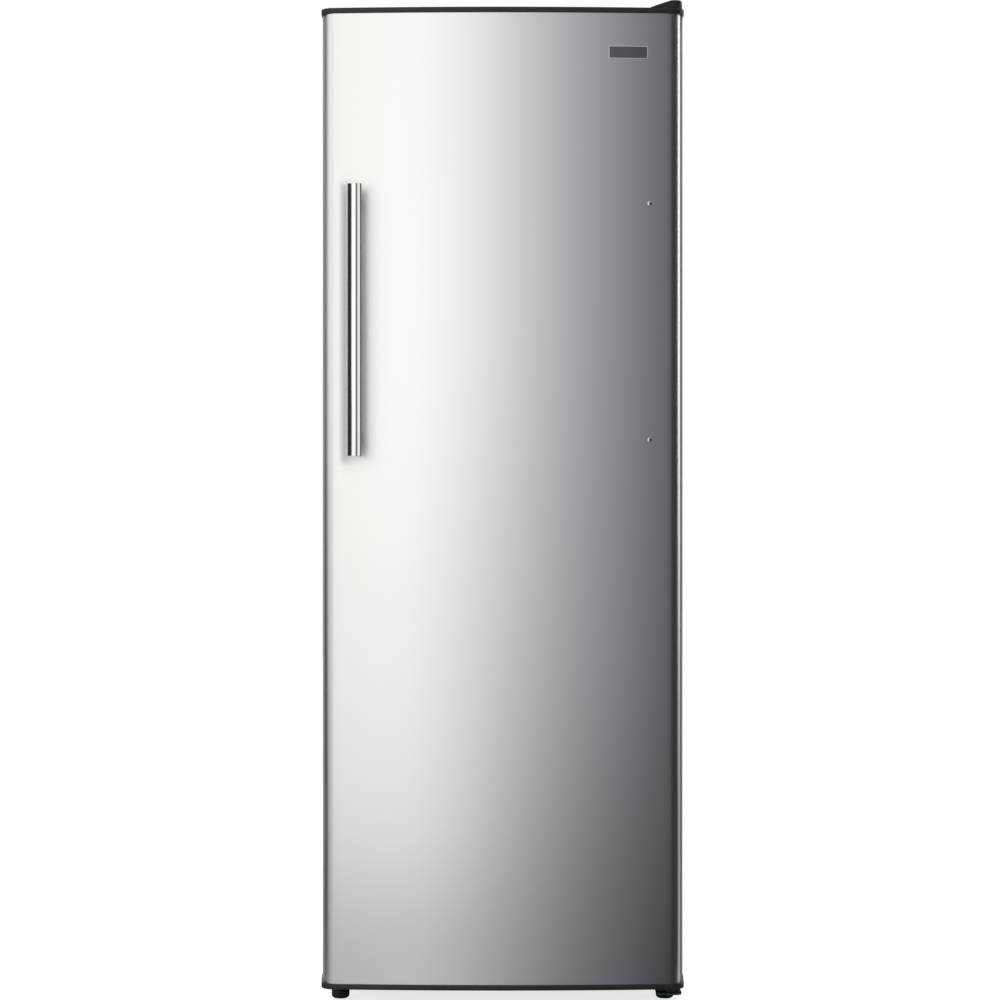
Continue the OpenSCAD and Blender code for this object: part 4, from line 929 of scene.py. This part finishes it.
def cross_head_screw(shank, facets=24):
    """Screw with its head towards +Z and a cross recess, its head's underside at the origin."""
    profile = [(SHANK_RADIUS * 0.55, -shank), (SHANK_RADIUS, SHANK_RADIUS - shank), (SHANK_RADIUS, 0.0)]
    profile += [(HEAD_RADIUS * wide, HEAD_HEIGHT * up)
                for wide, up in ((1.0, 0.0), (1.0, 0.35), (0.9, 0.7), (0.7, 1.0))]
    turns = [2 * math.pi * i / facets for i in range(facets)]
    shell = bmesh.new()
    rings = [[shell.verts.new((radius * math.cos(turn), radius * math.sin(turn), height)) for turn in turns]
             for radius, height in profile]
    shell.faces.new(list(reversed(rings[0])))
    for first, second in zip(rings, rings[1:]):
        for i in range(facets):
            j = (i + 1) % facets
            shell.faces.new((first[i], first[j], second[j], second[i]))
    wide, reach, depth = HEAD_RADIUS * 0.13, HEAD_RADIUS * 0.52, HEAD_HEIGHT * 0.55
    corners = []
    for quarter in range(4):
        spin = Matrix.Rotation(math.radians(90 * quarter), 3, "Z")
        for x, y in ((reach, -wide), (reach, wide), (wide, wide)):
            corners.append(spin @ Vector((x, y, HEAD_HEIGHT)))
    upper = [shell.verts.new(point) for point in corners]
    lower = [shell.verts.new(point - Vector((0, 0, depth))) for point in corners]
    count = len(corners)
    for i in range(count):
        j = (i + 1) % count
        shell.faces.new((upper[i], upper[j], lower[j], lower[i]))
    shell.faces.new(lower)
    top_edges = [shell.edges.get((rings[-1][i], rings[-1][(i + 1) % facets])) for i in range(facets)]
    recess_edges = [shell.edges.get((upper[i], upper[(i + 1) % count])) for i in range(count)]
    bmesh.ops.bridge_loops(shell, edges=top_edges + recess_edges)
    verts = [tuple(vert.co) for vert in shell.verts]
    shell.verts.index_update()
    faces = [tuple(vert.index for vert in face.verts) for face in shell.faces]
    shell.free()
    return verts, faces


def seated_screw(low, high, axis, lean, twist, head_high=True):
    """A screw in its solid's box. Lean is its head's turn about X, in degrees; twist turns its recess."""
    seat = (low + high) / 2
    seat[axis] = high[axis] - HEAD_HEIGHT if head_high else low[axis] + HEAD_HEIGHT
    turn = Matrix.Rotation(math.radians(lean), 4, "X") @ Matrix.Rotation(twist, 4, "Z")
    return moved(cross_head_screw(high[axis] - low[axis] - HEAD_HEIGHT), Matrix.Translation(seat) @ turn)


class FREEZER_OT_screws(Operator):
    """Cross-head screws of the hinges and the rear cover, each turned its own way"""

    bl_idname = "freezer.screws"
    bl_label = "Screws"

    def execute(self, context):
        rear = [seated_screw(low, high, 1, -90, low.x * 9) for low, high in islands("rear_cover_screws")]
        add_shape("rear_screws", joined(rear), ("zinc_fastener",), "rear_cover_screws")
        hinge = []
        for low, high in islands("hinge_screws"):
            above = low.z > DOOR_MIDDLE
            hinge.append(seated_screw(low, high, 2, 0 if above else 180, low.y * 11, above))
        verts, faces = joined(hinge)
        zones = [int(verts[face[0]][2] < DOOR_MIDDLE) for face in faces]
        kinds = ("zinc_fastener", "black_bracket")
        add_shape("bracket_screws", (verts, faces), kinds, "hinge_screws", zones=zones)
        return {"FINISHED"}


class FREEZER_OT_feet(Operator):
    """Levelling feet, rollers, their axles and forks"""

    bl_idname = "freezer.feet"
    bl_label = "Feet and rollers"

    def execute(self, context):
        ease_each({"left_foot": 0.0006, "right_foot": 0.0006, "left_roller": 0.0012,
                   "right_roller": 0.0012, "roller_brackets": 0.0005, "roller_axles": 0.0005})
        return {"FINISHED"}


class FREEZER_OT_finishes(Operator):
    """Makes the finishes and gives them to the frame's nodes"""

    bl_idname = "freezer.finishes"
    bl_label = "Finishes"

    def execute(self, context):
        finishes.update(make_finishes(context.scene.freezer_colours))
        for node, solid in frame["nodes"].items():
            for place in solid.material_slots:
                place.material = finishes[SLOT_OF[node]]
        return {"FINISHED"}


# ---------- studio ----------


def area_lamp(name, place, aim, width, height, power):
    """Soft lamp that doesn't show in gloss or to the camera."""
    lamp = bpy.data.lights.new(name, "AREA")
    lamp.shape = "RECTANGLE"
    lamp.size, lamp.size_y = width, height
    lamp.energy = power
    light = put(name, lamp)
    light.location = place
    light.rotation_euler = (Vector(aim) - Vector(place)).to_track_quat("-Z", "Y").to_euler()
    light.visible_camera = False
    light.visible_glossy = False


def stage_face(name, corners, material):
    """A flat stage piece with four corners."""
    mesh = bpy.data.meshes.new(name)
    mesh.from_pydata(corners, [], [(0, 1, 2, 3)])
    mesh.materials.append(material)
    flat = put(name, mesh)
    return flat


def card(name, corners, level):
    """A card that shows only in gloss, as bright as its level, a number or a function that wires it."""
    finish = Finish(name)
    glow = level(finish) if callable(level) else rgba((level,) * 3)
    finish.surface(Base_Color=(0.0, 0.0, 0.0), Roughness=1.0, Specular_IOR_Level=0.0, Emission_Color=glow,
                   Emission_Strength=1.0)
    flag = stage_face(name, corners, finish.material)
    flag.visible_camera = False
    flag.visible_diffuse = False
    flag.visible_shadow = False
    flag.visible_transmission = False


def upright(start, end, top, low=0.003):
    """Corners of an upright card between two places in plan."""
    return [(*start, low), (*end, low), (*end, top), (*start, top)]


def lying(*places, height=0.002):
    """Corners of a card that lies just over the floor."""
    return [(x, y, height) for x, y in places]


FRONT_LEVELS = ((0.04, 1.1), (0.25, 1.2), (0.35, 1.43), (0.42, 1.27), (0.53, 0.78), (0.63, 0.42),
                (0.73, 0.23), (0.79, 0.04))
RISE_LEVELS = ((0.0, 0.43), (0.25, 0.67), (0.5, 0.9), (0.8, 0.98), (1.125, 1.0), (2.5, 0.96))


def front_glow(finish):
    """Bright on the left and dark on the right, spread so that the bowed door shows one even run of it."""
    spread = 0.778
    share = finish.coordinate(0) / ((SKIN_LOW.y - finish.coordinate(1)) * spread + 1.0) + 0.5
    more = finish.ramp(share, ((0.38, 1.0), (0.58, 0.0)))
    less = finish.ramp(share, ((0.34, 0.0), (0.43, 1.0), (0.58, 1.0), (0.72, 0.0)))
    lift = (1.0 + more * finish.along(2, ((0.0, 0.02), (0.1, 0.36), (0.5, 0.0)))
            - less * finish.along(2, ((0.0, 0.05), (0.5, 0.13), (0.825, 0.09), (1.1, 0.0))))
    level = finish.ramp(share, FRONT_LEVELS) * finish.along(2, RISE_LEVELS) * lift
    cool = finish.ramp(share, ((0.4, 0.0), (0.53, 0.4), (0.7, 0.7), (0.78, 1.0)))
    tone = finish.mix(cool, (1.015, 1.0, 0.985), (0.86, 0.98, 1.17))
    return finish.node("ShaderNodeVectorMath", {"operation": "SCALE"}, {0: tone, "Scale": level})


def left_glow(finish):
    """Fades towards the back and towards the floor."""
    back = finish.along(1, ((-2.2, 1.1), (-1.45, 1.08), (-0.6, 0.98), (-0.27, 0.7), (0.3, 0.4), (1.2, 0.24),
                            (2.8, 0.2)))
    steep = finish.along(2, ((0.0, 2.2), (0.5, 1.6), (0.825, 1.25), (1.15, 1.0)))
    return back ** steep * finish.along(2, ((0.0, 0.48), (0.5, 0.66), (0.825, 0.76), (1.15, 1.0)))


def strip_glow(finish):
    """Dark beside the handle, and lighter towards the door."""
    return finish.along(1, ((-0.3312, 0.03), (-0.3235, 0.6), (-0.3158, 0.85), (-0.2965, 1.06)))


def rim_glow(finish):
    """The bright line down the door's right edge, which fades towards the floor."""
    return finish.along(2, ((0.0, 0.25), (0.5, 0.6), (0.825, 1.0), (1.15, 1.5)))


def add_floor(lift):
    """Pale floor that keeps the shadow and meets the white backdrop."""
    finish = Finish("floor")
    seen = finish.node("ShaderNodeLightPath", output="Is Camera Ray")
    speck = finish.noise(30.0)
    finish.surface(Base_Color=finish.mix(speck, (0.78,) * 3, (0.80,) * 3), Roughness=1.0,
                   Specular_IOR_Level=0.0, Emission_Color=seen * lift, Emission_Strength=1.0)
    reach = 9.0
    corners = [(-reach, -reach, 0), (reach, -reach, 0), (reach, reach, 0), (-reach, reach, 0)]
    stage_face("studio_floor", corners, finish.material)


def set_world(studio):
    """White all round for the camera and in gloss, a plain level for everything else."""
    world = bpy.data.worlds.new("studio_air")
    bpy.context.scene.world = world
    air = Finish("studio_air", world)
    seen = air.node("ShaderNodeLightPath", output="Is Camera Ray")
    gloss = air.node("ShaderNodeLightPath", output="Is Glossy Ray")
    through = air.node("ShaderNodeLightPath", output="Is Transmission Ray")
    direct = air.node("ShaderNodeMath", {"operation": "MINIMUM"}, {0: seen + gloss + through, 1: 1.0})
    tone = air.mix(direct, (studio.air,) * 3, (studio.backdrop,) * 3)
    light = air.node("ShaderNodeBackground", None, {"Color": tone, "Strength": 1.0})
    air.node("ShaderNodeOutputWorld", None, {0: light})


class FREEZER_OT_studio(Operator):
    """Floor, backdrop, lamps, cards and camera"""

    bl_idname = "freezer.studio"
    bl_label = "Studio"

    def execute(self, context):
        scene = context.scene
        studio = scene.freezer_studio
        scene.view_settings.view_transform = "Standard"
        add_floor(studio.lift)
        set_world(studio)
        area_lamp("lamp_front", (-1.9, -4.2, 2.3), (0.0, 0.0, 0.9), 2.4, 2.4, 38.0)
        area_lamp("lamp_over", (0.4, -1.4, 3.4), (0.0, 0.0, 0.6), 2.2, 2.2, 20.0)
        far, near, behind, top, dark = -1.1, SKIN_LOW.y - 0.01, 1.2, 2.6, 0.035
        left, right, side, wall = -0.75, 0.55, 1.6, -2.0
        foot_left, foot_right, rim_start = -0.46, 0.36, -0.03
        ground = lying((left, far), (right, far), (foot_right, near), (foot_left, near))
        card("card_front", upright((left, far), (right, far), top), front_glow)
        card("card_ground", ground, front_glow)
        card("card_right", upright((right, far), (side, far), top), dark)
        card("card_right_ground", lying((right, far), (side, far), (side, 0.15), (foot_right, near)), dark)
        card("card_side", upright((side, far), (side, rim_start), top), dark)
        card("card_rim", upright((side, rim_start), (side, 0.9), top), rim_glow)
        card("card_left", upright((wall, -2.2), (wall, 3.2), 2.8), left_glow)
        ground = lying((wall, far), (wall, behind), (-0.34, behind), (foot_left, far))
        card("card_left_ground", ground, left_glow)
        low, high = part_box("handle_bar")
        bar = (low + high) / 2
        strips = {"left": (-0.028, -0.0378, 0.0392, strip_glow), "right": (0.0205, -0.0218, -0.0038, 0.95),
                  "edge": (0.0135, -0.0023, 0.0027, 0.03)}
        for name, (aside, front, back, level) in strips.items():
            x = bar.x + aside
            corners = upright((x, bar.y + front), (x, bar.y + back), high.z + 0.0105, low.z - 0.0085)
            card("card_handle_" + name, corners, level)
        camera = bpy.data.cameras.new("camera")
        camera.lens = studio.lens
        camera.sensor_width = 36.0
        camera.clip_end = 100.0
        view = put("camera", camera)
        view.location = (studio.aside, SKIN_LOW.y - studio.distance, studio.height)
        view.rotation_euler = (math.radians(90), 0, 0)
        scene.camera = view
        return {"FINISHED"}


# ---------- add-on ----------

PIECES = (
    FREEZER_OT_finishes, FREEZER_OT_steel_front, FREEZER_OT_end_caps, FREEZER_OT_handle, FREEZER_OT_door_trim,
    FREEZER_OT_door_seal, FREEZER_OT_door_inside, FREEZER_OT_cabinet, FREEZER_OT_inside, FREEZER_OT_dial,
    FREEZER_OT_shelves, FREEZER_OT_cooling, FREEZER_OT_hinges, FREEZER_OT_screws, FREEZER_OT_feet,
    FREEZER_OT_studio,
)


class FREEZER_PT_panel(Panel):
    """Lists the freezer's pieces and their settings"""

    bl_label = "Upright freezer"
    bl_idname = "FREEZER_PT_panel"
    bl_space_type = "VIEW_3D"
    bl_region_type = "UI"
    bl_category = "Freezer"

    def draw(self, context):
        for group in GROUPS:
            for name in GROUPS[group].__annotations__:
                self.layout.prop(getattr(context.scene, group), name)
        for piece in PIECES:
            self.layout.operator(piece.bl_idname)


GROUPS = {"freezer_door": DoorSizes, "freezer_colours": FinishColours, "freezer_studio": StudioSettings}


def register():
    for group in GROUPS.values():
        bpy.utils.register_class(group)
    for name, group in GROUPS.items():
        setattr(bpy.types.Scene, name, PointerProperty(type=group))
    for piece in PIECES:
        bpy.utils.register_class(piece)
    bpy.utils.register_class(FREEZER_PT_panel)


def unregister():
    bpy.utils.unregister_class(FREEZER_PT_panel)
    for piece in reversed(PIECES):
        bpy.utils.unregister_class(piece)
    for name, group in GROUPS.items():
        delattr(bpy.types.Scene, name)
        bpy.utils.unregister_class(group)


def main():
    """Builds everything."""
    register()
    for piece in PIECES:
        getattr(bpy.ops.freezer, piece.bl_idname.split(".")[1])()


if __name__ == "__main__":
    main()
